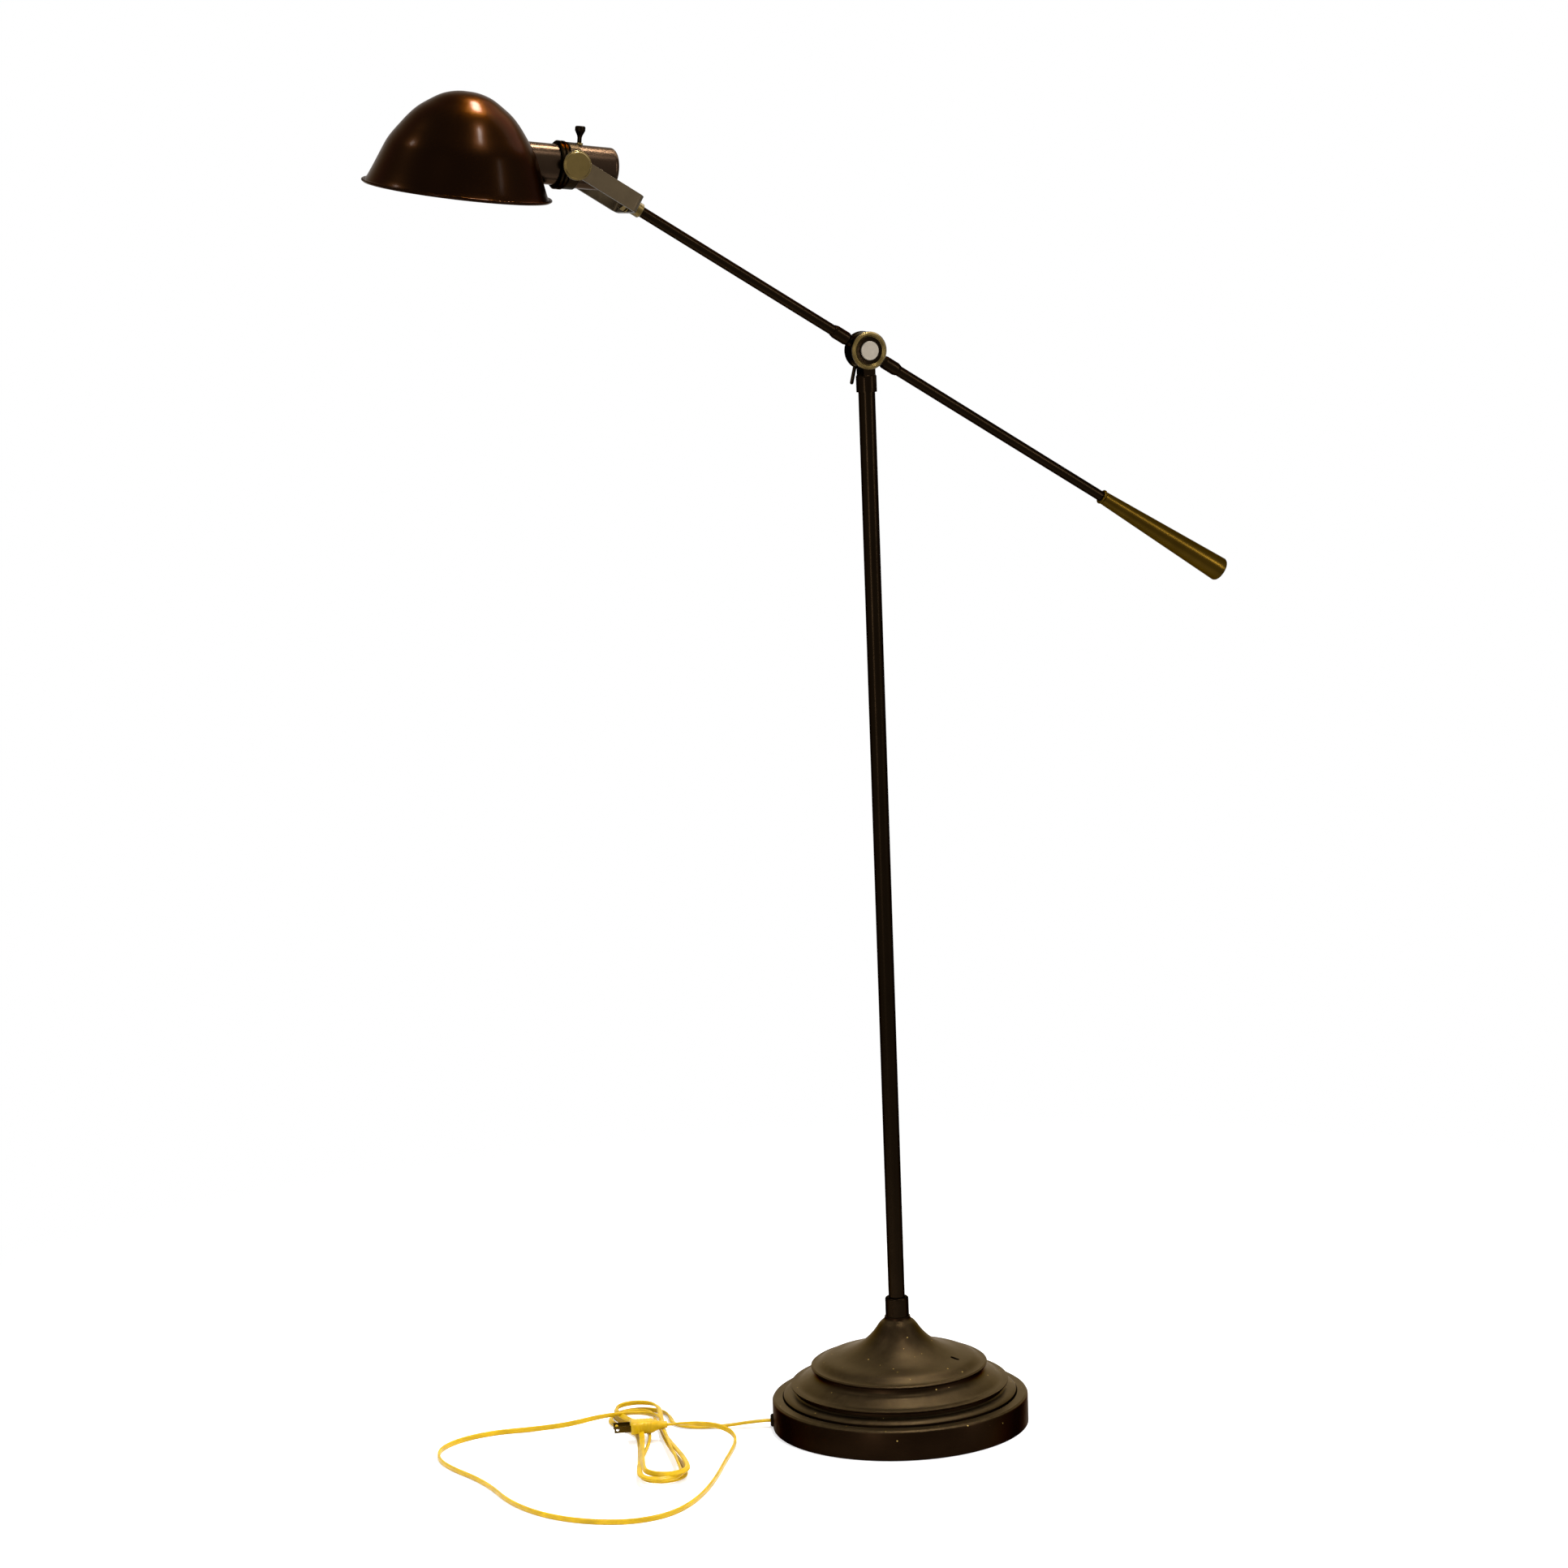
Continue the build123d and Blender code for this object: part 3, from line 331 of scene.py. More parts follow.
def vulcanised_fibre(colour):
    """Red-brown fibre washers, matt."""
    return worn_surface("vulcanised_fibre", colour, dark_share=0.75, patch_mm=2, roughness=(0.6, 0.75),
                        metallic=0.0, relief_mm=0.03, grain_mm=0.4)


def wool_felt(colour):
    """Pressed green felt: short fibres lie in all directions and catch light at the rim."""
    material, tree, place = new_material("wool_felt")
    fibres = noise(tree, place, 0.9, Detail=6.0, Distortion=2.5)
    tones = blend(tree, fibres, shaded(colour, 0.5), shaded(colour, 1.6))
    add_surface(tree, {"Base Color": tones, "Roughness": 0.95, "Sheen Weight": 0.4, "Sheen Roughness": 0.5,
                       "Normal": relief(tree, fibres, 0.3)})
    return material


def gold_vinyl(colour):
    """Gold vinyl over copper strands: light sinks in a little, and it is darker where the strands show."""
    material, tree, place = new_material("gold_vinyl")
    strands = noise(tree, place, 14, Detail=3.0)
    tones = blend(tree, strands, shaded(colour, 0.55), shaded(colour, 1.15))
    add_surface(tree, {"Base Color": tones, "Roughness": 0.4, "Specular IOR Level": 0.18,
                       "Subsurface Weight": 0.2, "Subsurface Scale": 1.2 * MM,
                       "Subsurface Radius": (1.0, 0.6, 0.05),
                       "Normal": relief(tree, noise(tree, place, 1.5), 0.02)})
    return material


def frosted_glass():
    """Frosted white glass of the bulb: light passes softly, and its face shows a weak, broad light."""
    material, tree, place = new_material("frosted_glass")
    gloss = remap(tree, noise(tree, place, 1.2, Detail=2.0), 0.0, 1.0, 0.3, 0.5)
    add_surface(tree, {"Base Color": shaded(linear("#f1efe8")), "Roughness": gloss, "IOR": 1.5,
                       "Transmission Weight": 0.35})
    return material


materials = {}


def make_materials():
    finishes = bpy.context.scene.lamp_finishes
    materials.update({
        "bronze": base_bronze(finishes.bronze),
        "black_bronze": tube_bronze(finishes.black_bronze),
        "copper_bronze": neck_bronze(finishes.copper_bronze),
        "ring_bronze": blackened_bronze(finishes.black_bronze),
        "shade": shade_bronze(finishes.shade),
        "lining": shade_lining(finishes.lining),
        "brass": antique_brass(finishes.brass),
        "olive_brass": counterweight_brass(finishes.olive_brass),
        "plate": weathered_plate(finishes.plate),
        "nickel": pale_nickel(finishes.nickel),
        "iron": cast_iron(linear("#4a4845")),
        "zinc": zinc_steel(linear("#a9a496")),
        "phenolic": dark_phenolic(linear("#1c1613")),
        "card": pressed_card(linear("#9a8a6c")),
        "fibre": vulcanised_fibre(linear("#5a2f22")),
        "felt": wool_felt(finishes.felt),
        "vinyl": gold_vinyl(finishes.flex),
        "glass": frosted_glass(),
    })


# Mesh helpers
def dress(finish, *nodes):
    """Gives CAD nodes that keep their own mesh a finish."""
    for name in nodes:
        node = frame["nodes"][name]
        if not node.material_slots:
            node.data.materials.append(None)
        for slot in node.material_slots:
            slot.link = "OBJECT"
            slot.material = materials[finish]


def body_of_node(name):
    bodies = frame["record"]["behaviour"]["bodies"]
    return next(body for body, members in bodies.items() if name in members)


def add_object(name, data):
    made = bpy.data.objects.new(name, data)
    bpy.context.scene.collection.objects.link(made)
    return made


def plain_mesh(source, name):
    """A new object with the source's modified mesh; the source goes."""
    bpy.context.view_layer.update()
    graph = bpy.context.evaluated_depsgraph_get()
    mesh = bpy.data.meshes.new_from_object(source.evaluated_get(graph))
    bpy.data.objects.remove(source)
    return add_object(name, mesh)


def merged_copy(node, name):
    """The CAD node's mesh as one joined surface, smooth but for its real edges."""
    mesh = frame["nodes"][node].data.copy()
    mesh.name = name
    weld = 0.002 * MM
    shape = bmesh.new()
    shape.from_mesh(mesh)
    bmesh.ops.remove_doubles(shape, verts=shape.verts, dist=weld)
    bmesh.ops.dissolve_degenerate(shape, edges=shape.edges, dist=weld)
    shape.to_mesh(mesh)
    shape.free()
    if "custom_normal" in mesh.attributes:
        mesh.attributes.remove(mesh.attributes["custom_normal"])
    mesh.shade_smooth()
    mesh.set_sharp_from_angle(angle=math.radians(28))
    mesh.materials.clear()
    return add_object(name, mesh)


def join_flats(mesh):
    """Joins the triangles of each flat face, so that a rounded edge runs round the whole face."""
    shape = bmesh.new()
    shape.from_mesh(mesh)
    bmesh.ops.dissolve_limit(shape, angle_limit=math.radians(0.2), verts=shape.verts, edges=shape.edges)
    shape.to_mesh(mesh)
    shape.free()


def stand_for(piece, node):
    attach(piece, body_of_node(node))
    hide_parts(node)


def soften(finish, width, *nodes):
    """Joined copies of CAD nodes; with a width, their edges are rounded as on turned or tumbled hardware."""
    pieces = []
    for node in nodes:
        piece = merged_copy(node, node + "_finished")
        piece.data.materials.append(materials[finish])
        if width:
            piece.data.attributes.remove(piece.data.attributes["sharp_edge"])
            join_flats(piece.data)
            bevel = piece.modifiers.new("edge", "BEVEL")
            bevel.width = width
            bevel.segments = 2
            bevel.limit_method = "ANGLE"
            bevel.angle_limit = math.radians(40)
            piece.modifiers.new("flats", "WEIGHTED_NORMAL")
            piece = plain_mesh(piece, node + "_finished")
        stand_for(piece, node)
        pieces.append(piece)
    return pieces


def loft(name, rings):
    """Closed skin over rings of points, each with as many points as the next."""
    shape = bmesh.new()
    rows = [[shape.verts.new(point) for point in ring] for ring in rings]
    for row, following in zip(rows, rows[1:]):
        for index in range(len(row)):
            after = (index + 1) % len(row)
            shape.faces.new((row[index], row[after], following[after], following[index]))
    shape.faces.new(list(reversed(rows[0])))
    shape.faces.new(rows[-1])
    bmesh.ops.recalc_face_normals(shape, faces=shape.faces)
    mesh = bpy.data.meshes.new(name)
    shape.to_mesh(mesh)
    shape.free()
    mesh.shade_smooth()
    mesh.set_sharp_from_angle(angle=math.radians(50))
    return mesh


def turned(name, outline, steps):
    """Turned piece from (length, radius) points along X, closed on its axis at both ends."""
    rings = []
    for along, radius in outline:
        rings.append([(along, radius * math.cos(turn), radius * math.sin(turn))
                      for turn in (2 * math.pi * step / steps for step in range(steps))])
    return loft(name, rings)


# Places, repeated from the part's source
grommet_bearing = math.radians(156.7)
base_radius = 125.0 * MM
grommet_flange = 2.5 * MM
grommet_height = 7.0 * MM
pivot_height = 1046 * MM
bezel_inner = 13.1 * MM
arm_tilt = math.radians(32)
yoke_reach = 345 * MM
head_tilt = math.radians(7)
shade_place = 102.4 * MM
shade_drop = 32 * MM
shade_roll = math.radians(-6.8)
key_place = -10.5 * MM
switch_radius = 15 * MM
cup_radius = 19.8 * MM
key_height = 16.8 * MM
holder_front = 32 * MM
holder_inner = 14.3 * MM
cord_round = 4.2 * MM
cord_layer = 4.8 * MM
hank_waist = (-238.0 * MM, 78.0 * MM)
hank_bearing = math.radians(73.3)
waist_half = 15.0 * MM
waist_step = 9.0 * MM
turn_radius = 30.0 * MM
turn_step = 7.0 * MM
top_reach = 88.0 * MM
bottom_reach = 158.0 * MM
reach_step = 8.5 * MM
turn_swing = 7.0 * MM
last_climb = 22.0 * MM
last_radius = 26.0 * MM
plug_back = 8.0 * MM
plug_length = 26.0 * MM
plug_width = 20.0 * MM
plug_height = 13.0 * MM
plug_neck = 10.0 * MM
plug_neck_radius = 5.0 * MM
plug_neck_tip = 3.2 * MM
run_lead = 24.0 * MM
loop_lead = 28.0 * MM
plug_lead = 20.0 * MM


def tilted(origin, angle):
    """Frame whose X runs along a tilted piece towards the shade and whose Z is its upper side."""
    along = Vector((-math.cos(angle), 0, math.sin(angle)))
    upper = Vector((math.sin(angle), 0, math.cos(angle)))
    columns = Matrix((along, upper.cross(along), upper)).transposed().to_4x4()
    return Matrix.Translation(origin) @ columns


arm_frame = tilted(Vector((0, 0, pivot_height)), arm_tilt)
yoke_pivot = arm_frame @ Vector((yoke_reach, 0, 0))
head_frame = tilted(yoke_pivot, head_tilt)
shade_shift = Matrix.Translation((shade_place, 0, -shade_drop))
shade_frame = head_frame @ Matrix.Rotation(shade_roll, 4, "X") @ shade_shift
hank_frame = Matrix.Translation((*hank_waist, 0)) @ Matrix.Rotation(hank_bearing, 4, "Z")
plug_centre = Vector((-plug_back, waist_step / 4, cord_round + cord_layer + plug_height / 2))
plug_frame = hank_frame @ Matrix.Translation(plug_centre) @ Matrix.Rotation(math.pi / 2, 4, "Z")

# Route of the flex on the floor, in millimetres, repeated from the part's source
run_points = [(-131, 56.4, 6.6), (-153, 66.5, 3.4), (-173, 75.5, 2.1), (-190, 86, 2.1)]
loop_points = [(-294, 141, 5.6), (-327, 156, 2.1), (-362, 165, 2.1), (-397, 161, 2.1), (-427, 143, 2.1),
               (-440, 112, 2.1), (-438, 78, 2.1), (-428, 40, 2.1), (-424, 2, 2.1), (-425, -36, 2.1),
               (-419, -72, 2.1), (-405, -106, 2.1), (-381, -135, 2.1), (-348, -155, 2.1),
               (-312, -155, 2.1), (-280, -136, 2.1), (-250, -104, 2.1), (-225, -70, 2.1),
               (-203, -36, 2.1), (-182, -5, 2.1), (-168, 17, 3.0), (-164, 37, 6.0), (-174, 52, 10.5)]

# The flat flex stands on its edge in the loop and the hank, so its middle lies higher than in the part
edge_lift = 0.6 * MM

# What each of the hank's end turns adds to the part's reach, shift to the side, radius and height, in mm
loose_turns = ((1, 0, 0, 0), (-8, -5, -5, 1), (6, 5, -4, 1), (8, 6, -3, 2), (4, -5, -5, 3), (-4, 0, -9, 5))

# What each strand adds to the part's distance from the middle of the waist, in mm
loose_waists = (-6, 8, -10, 9, -8)


def hank_stations():
    """Points and headings that the hank passes, in its own frame."""
    low = cord_round / 2
    high = low + cord_layer
    stations = []
    before = None
    turns = ((0, low), (0.5, low), (1, low), (1, high), (0.5, high), (0, high))
    for index, (step, height) in enumerate(turns):
        sign = 1 if index % 2 == 0 else -1
        longer, aside, wider, lift = loose_turns[index]
        reach = (top_reach if sign > 0 else bottom_reach) - reach_step * step + longer * MM
        radius = turn_radius - turn_step * step + wider * MM
        shift = (sign * turn_swing if height == high else 0) + aside * MM
        height += lift * MM
        centre = sign * (reach - radius)
        if before:
            waist = waist_half - waist_step * (before[0] + step) / 2 + loose_waists[index - 1] * MM
            stations.append((Vector((0, -sign * waist, (before[1] + height) / 2)), Vector((sign, 0, 0))))
        stations.append((Vector((centre, shift - sign * radius, height)), Vector((sign, 0, 0))))
        stations.append((Vector((centre + sign * radius, shift, height)), Vector((0, sign, 0))))
        stations.append((Vector((centre, shift + sign * radius, height)), Vector((-sign, 0, 0))))
        before = (step, height)
    crossing = waist_half + waist_step / 4
    top = high + cord_layer
    stations.append((Vector((0, -crossing, high)), Vector((1, 0, 0))))
    stations.append((Vector((last_climb, -crossing, top)), Vector((1, 0, 0))))
    stations.append((Vector((last_climb + last_radius, last_radius - crossing, top)), Vector((0, 1, 0))))
    return stations


def hank_points():
    """Control points of the hank's turns: each stretch between two stations is a smooth bend."""
    stations = hank_stations()
    bulge = 0.17
    points = []
    for (start, heading), (end, last_heading) in zip(stations, stations[1:]):
        pull = (end - start).length * (1 + bulge * (1 - heading.dot(last_heading)))
        count = 4 if (end - start).length > 2 * turn_radius else 3
        for step in range(count):
            t = step / count
            points.append(start * (2 * t ** 3 - 3 * t ** 2 + 1) + heading * pull * (t ** 3 - 2 * t ** 2 + t)
                          + end * (3 * t ** 2 - 2 * t ** 3) + last_heading * pull * (t ** 3 - t ** 2))
    points.append(stations[-1][0])
    return [hank_frame @ point for point in points]


def flex_route():
    """Control points of the whole flex, with the lean of its flat side at each in radians."""
    stations = hank_stations()
    turn = hank_frame.to_3x3()
    face = base_radius + grommet_flange
    exit_point = Vector((face * math.cos(grommet_bearing), face * math.sin(grommet_bearing), grommet_height))
    hank_start = hank_frame @ stations[0][0]
    route = [(exit_point, 0.0)]
    route += [(Vector(point) * MM, 0.0) for point in run_points]
    route.append((hank_start - turn @ stations[0][1] * run_lead, 0.3))
    lean = 0.75
    sway = 0.5
    sway_step = 0.55
    for index, point in enumerate(hank_points()):
        route.append((point + Vector((0, 0, edge_lift)), lean + sway * math.sin(index * sway_step)))
    lead_end = hank_frame @ stations[-1][0] + turn @ stations[-1][1] * loop_lead
    route.append((lead_end, 1.0))
    on_edge = math.pi / 2
    for x, y, z in loop_points:
        route.append((Vector((x * MM, y * MM, z * MM + edge_lift)), on_edge))
    neck_end = -plug_length / 2 - plug_neck
    route.append((plug_frame @ Vector((neck_end - plug_lead, 0, 0)), 0.8))
    route.append((plug_frame @ Vector((neck_end, 0, 0)), 0.0))
    return route


# Pieces
def twin_profile(width, thickness):
    """Outline of twin flex: two round cores side by side with a groove between them."""
    curve = bpy.data.curves.new("twin_profile", "CURVE")
    curve.dimensions = "2D"
    radius = thickness / 2
    offset = width / 2 - radius
    half_arc = 112
    steps = 8
    outline = []
    for side in (1, -1):
        for step in range(steps + 1):
            angle = math.radians(half_arc * (2 * step / steps - 1))
            outline.append((side * (offset + radius * math.cos(angle)), side * radius * math.sin(angle), 0))
    spline = curve.splines.new("POLY")
    spline.points.add(len(outline) - 1)
    for point, place in zip(spline.points, outline):
        point.co = (*place, 1)
    spline.use_cyclic_u = True
    return bpy.data.objects.new("twin_profile", curve)


def make_flex(sizes):
    curve = bpy.data.curves.new("flex", "CURVE")
    curve.dimensions = "3D"
    curve.resolution_u = 6
    curve.twist_mode = "Z_UP"
    curve.bevel_mode = "OBJECT"
    curve.bevel_object = twin_profile(sizes.flex_width, sizes.flex_thickness)
    curve.use_fill_caps = True
    route = flex_route()
    spline = curve.splines.new("NURBS")
    spline.points.add(len(route) - 1)
    for point, (place, tilt) in zip(spline.points, route):
        point.co = (*place, 1)
        point.tilt = tilt
    spline.order_u = 3
    spline.use_endpoint_u = True
    spline.use_smooth = True
    curve.materials.append(materials["vinyl"])
    flex = add_object("flex", curve)
    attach(flex, "stand")
    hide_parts("cord_run", "cord_hank", "cord_loop")
    return flex, route[0][0]


def plug_rings(ribs):
    """Cross-sections of the moulded plug from its neck to its face, grip ribs on the flat sides."""
    back = -plug_length / 2
    face = plug_length / 2
    # Place along the plug, half width, half height and squareness of each section
    sections = [(back - plug_neck, plug_neck_tip, plug_neck_tip, 2.0),
                (back - plug_neck / 2, 4.0 * MM, 3.7 * MM, 2.0),
                (back - 0.5 * MM, plug_neck_radius, 4.6 * MM, 2.2),
                (back + 1.2 * MM, 6.4 * MM, 5.0 * MM, 2.6),
                (back + 4.0 * MM, 8.4 * MM, 5.8 * MM, 3.2)]
    grip_start = back + 6 * MM
    grip_end = face - 5 * MM
    grip_square = 3.6
    groove_depth = 0.45 * MM
    for index in range(4 * ribs + 1):
        share = index / (4 * ribs)
        groove = groove_depth * (1 - math.cos(2 * math.pi * ribs * share)) / 2
        half = (9.2 + 0.8 * share) * MM
        along = grip_start + (grip_end - grip_start) * share
        sections.append((along, half - groove, 6.3 * MM - groove * 0.4, grip_square))
    face_square = 4.0
    rounding = 0.8 * MM
    sections += [(face - 3 * MM, plug_width / 2, plug_height / 2, face_square),
                 (face - rounding, plug_width / 2, plug_height / 2, face_square),
                 (face, plug_width / 2 - rounding, plug_height / 2 - rounding, face_square)]
    corners = 48
    rings = []
    for along, half_width, half_height, square in sections:
        ring = []
        for corner in range(corners):
            turn = 2 * math.pi * corner / corners
            c, s = math.cos(turn), math.sin(turn)
            ring.append((along, half_width * math.copysign(abs(c) ** (2 / square), c),
                         half_height * math.copysign(abs(s) ** (2 / square), s)))
        rings.append(ring)
    return rings


def make_plug(sizes):
    mesh = loft("plug_shell", plug_rings(sizes.plug_ribs))
    mesh.transform(plug_frame)
    mesh.materials.append(materials["vinyl"])
    shell = add_object("plug_shell", mesh)
    stand_for(shell, "plug_body")
    return shell


def make_felt():
    """The felt disc, its cut edge rounded by wear."""
    low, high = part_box("base_felt_pad")
    radius = high.x
    thick = high.z - low.z
    wear = 0.4 * MM
    outline = [(0, radius - wear * 1.6), (wear, radius - wear * 0.3), (thick / 2, radius),
               (thick - wear / 2, radius - wear * 0.4), (thick, radius - wear)]
    mesh = turned("felt_disc", outline, 160)
    mesh.transform(Matrix.Rotation(-math.pi / 2, 4, "Y"))
    mesh.materials.append(materials["felt"])
    disc = add_object("felt_disc", mesh)
    stand_for(disc, "base_felt_pad")


def make_shade():
    """The spun shade, brown outside and on its rim, enamelled inside."""
    piece = merged_copy("shade", "spun_shade")
    piece.data.materials.append(materials["shade"])
    piece.data.materials.append(materials["lining"])
    to_shade = shade_frame.inverted()
    rim_line = 2.8 * MM
    upright = 0.3
    downward = -0.6
    for face in piece.data.polygons:
        place = to_shade @ face.center
        normal = to_shade.to_3x3() @ face.normal
        wall = normal.x * place.x + normal.y * place.y < 0 and normal.z < upright
        crown = normal.z < downward
        face.material_index = 1 if (wall or crown) and place.z > rim_line else 0
    stand_for(piece, "shade")


def make_bezel(edge):
    """The knuckle's brass bead round a dish in the dark tube bronze, a painted shade for the hollow round the
    bolt.
    """
    bezel = soften("brass", edge, "knuckle_bezel")[0]
    bezel.data.materials.append(materials["black_bronze"])
    # Faces inside the bead take the dark tube bronze: painted shade in the hollow round the bolt
    for face in bezel.data.polygons:
        corners = [bezel.data.vertices[index].co for index in face.vertices]
        if sum(math.hypot(c.x, c.z - pivot_height) for c in corners) < bezel_inner * len(corners):
            face.material_index = 1


def start_group(name, values):
    """A geometry node group with one geometry in and out and the named inputs, and its input sockets."""
    tree = bpy.data.node_groups.new(name, "GeometryNodeTree")
    for direction in ("INPUT", "OUTPUT"):
        tree.interface.new_socket("Geometry", in_out=direction, socket_type="NodeSocketGeometry")
    for title, value in values.items():
        kind = "NodeSocketInt" if isinstance(value, int) else "NodeSocketFloat"
        tree.interface.new_socket(title, in_out="INPUT", socket_type=kind).default_value = value
    return tree, add_node(tree, "NodeGroupInput").outputs


def end_group(tree, geometry, finish):
    painted = add_node(tree, "GeometryNodeSetMaterial", {"Geometry": geometry, "Material": materials[finish]})
    add_node(tree, "NodeGroupOutput", {"Geometry": painted.outputs["Geometry"]})


def ridge_tree(count, radius, middle, length, ridge):
    """Half-round ridges set evenly round an upright knob."""
    tree, given = start_group("knob_ridges", {"Count": count, "Radius": radius, "Ridge": ridge,
                                              "Length": length, "Middle": middle})
    ring = add_node(tree, "GeometryNodeMeshCircle", {"Vertices": given["Count"], "Radius": given["Radius"]})
    lift = add_node(tree, "ShaderNodeCombineXYZ", {"Z": given["Middle"]})
    raised = add_node(tree, "GeometryNodeTransform", {"Geometry": ring.outputs["Mesh"],
                                                      "Translation": lift.outputs["Vector"]})
    rod = add_node(tree, "GeometryNodeMeshCylinder", {"Vertices": 8, "Radius": given["Ridge"],
                                                      "Depth": given["Length"]})
    placed = add_node(tree, "GeometryNodeInstanceOnPoints", {"Points": raised.outputs["Geometry"],
                                                             "Instance": rod.outputs["Mesh"]})
    real = add_node(tree, "GeometryNodeRealizeInstances", {"Geometry": placed.outputs["Instances"]})
    both = add_node(tree, "GeometryNodeJoinGeometry", {"Geometry": real.outputs["Geometry"]})
    tree.links.new(given["Geometry"], both.inputs["Geometry"])
    end_group(tree, both.outputs["Geometry"], "black_bronze")
    return tree


def make_key(sizes):
    """The switch key: a thin stem that widens in a cone to a ridged knob with a dished top."""
    foot = switch_radius - 2.9 * MM
    top = cup_radius + key_height
    stem = 2.0 * MM
    knob = 4.5 * MM
    cone = top - 6.6 * MM
    ridge = 0.28 * MM
    ridge_length = 3.6 * MM
    ridge_middle = top - 0.9 * MM - ridge_length / 2
    outline = [(foot, 1.7 * MM), (foot + 0.3 * MM, stem), (cone - 4.0 * MM, stem),
               (cone - 2.0 * MM, 2.5 * MM), (cone, 3.5 * MM), (cone + 1.2 * MM, 4.1 * MM),
               (cone + 2.2 * MM, knob), (top - 0.8 * MM, knob), (top - 0.2 * MM, knob - 0.3 * MM),
               (top, knob - 0.9 * MM), (top - 0.5 * MM, knob - 1.8 * MM), (top - 0.8 * MM, 0.4 * MM)]
    mesh = turned("key", outline, 48)
    mesh.transform(Matrix.Rotation(-math.pi / 2, 4, "Y"))
    raw = add_object("key_raw", mesh)
    tree = ridge_tree(sizes.key_ridges, knob, ridge_middle, ridge_length, ridge)
    raw.modifiers.new("ridges", "NODES").node_group = tree
    key = plain_mesh(raw, "ridged_key")
    key.data.transform(head_frame @ Matrix.Translation((key_place, 0, 0)))
    stand_for(key, "switch_key")


def thread_tree(radius, pitch, turns, rib):
    """A screw thread: one round rib that winds along the holder."""
    tree, given = start_group("screw_thread", {"Radius": radius, "Height": pitch * turns, "Turns": turns,
                                               "Rib": rib})
    spiral = add_node(tree, "GeometryNodeCurveSpiral",
                      {"Resolution": 48, "Rotations": given["Turns"], "Start Radius": given["Radius"],
                       "End Radius": given["Radius"], "Height": given["Height"]})
    section = add_node(tree, "GeometryNodeCurvePrimitiveCircle", {"Resolution": 10, "Radius": given["Rib"]})
    wound = add_node(tree, "GeometryNodeCurveToMesh", {"Curve": spiral.outputs["Curve"], "Fill Caps": True,
                                                       "Profile Curve": section.outputs["Curve"]})
    real = add_node(tree, "GeometryNodeRealizeInstances", {"Geometry": wound.outputs["Mesh"]})
    end_group(tree, real.outputs["Geometry"], "brass")
    return tree


def make_thread(sizes):
    raw = add_object("thread_raw", bpy.data.meshes.new("thread_raw"))
    turns = 4.0
    lip = 3.2 * MM
    rib = 0.7 * MM
    sunk = 0.2 * MM
    tree = thread_tree(holder_inner + sunk, sizes.thread_pitch, turns, rib)
    raw.modifiers.new("thread", "NODES").node_group = tree
    thread = plain_mesh(raw, "holder_thread")
    start = Matrix.Translation((holder_front - lip - sizes.thread_pitch * turns, 0, 0))
    thread.data.transform(head_frame @ start @ Matrix.Rotation(math.pi / 2, 4, "Y"))
    thread.data.shade_smooth()
    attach(thread, "head")


# Stage
white = (1, 1, 1, 1)


def make_camera(stage):
    heading = stage.azimuth
    level = math.cos(stage.pitch)
    ahead = Vector((math.sin(heading) * level, math.cos(heading) * level, -math.sin(stage.pitch)))
    right = Vector((math.cos(heading), -math.sin(heading), 0))
    up = right.cross(ahead)
    rolled_right = right * math.cos(stage.roll) - up * math.sin(stage.roll)
    rolled_up = right * math.sin(stage.roll) + up * math.cos(stage.roll)
    data = bpy.data.cameras.new("camera")
    data.lens = stage.lens
    data.sensor_width = 36
    camera = add_object("camera", data)
    turn = Matrix((rolled_right, rolled_up, -ahead)).transposed().to_4x4()
    camera.matrix_world = Matrix.Translation(stage.place) @ turn
    bpy.context.scene.camera = camera


def make_lamp(name, place, target, power, width, height=None, spread=math.pi):
    """An area lamp that faces its target: round, or a rectangle if it has a height."""
    data = bpy.data.lights.new(name, "AREA")
    data.shape = "RECTANGLE" if height else "DISK"
    data.size = width
    if height:
        data.size_y = height
    data.energy = power
    data.spread = spread
    lamp = add_object(name, data)
    aim = Vector(target) - Vector(place)
    lamp.matrix_world = Matrix.Translation(place) @ aim.to_track_quat("-Z", "Y").to_matrix().to_4x4()


def white_view(tree):
    """1 for a ray that shows the background to the eye, in a mirror or through glass."""
    path = add_node(tree, "ShaderNodeLightPath").outputs
    mirrored = combine(tree, "MAXIMUM", path["Is Camera Ray"], path["Is Glossy Ray"])
    return combine(tree, "MAXIMUM", mirrored, path["Is Transmission Ray"])


def make_world(sky):
    world = bpy.data.worlds.new("studio")
    world.use_nodes = True
    tree = world.node_tree
    tree.nodes.clear()
    level = remap(tree, white_view(tree), 0.0, 1.0, sky, 1.0)
    even = add_node(tree, "ShaderNodeBackground", {"Color": white, "Strength": level})
    add_node(tree, "ShaderNodeOutputWorld", {"Surface": even.outputs["Background"]})
    bpy.context.scene.world = world


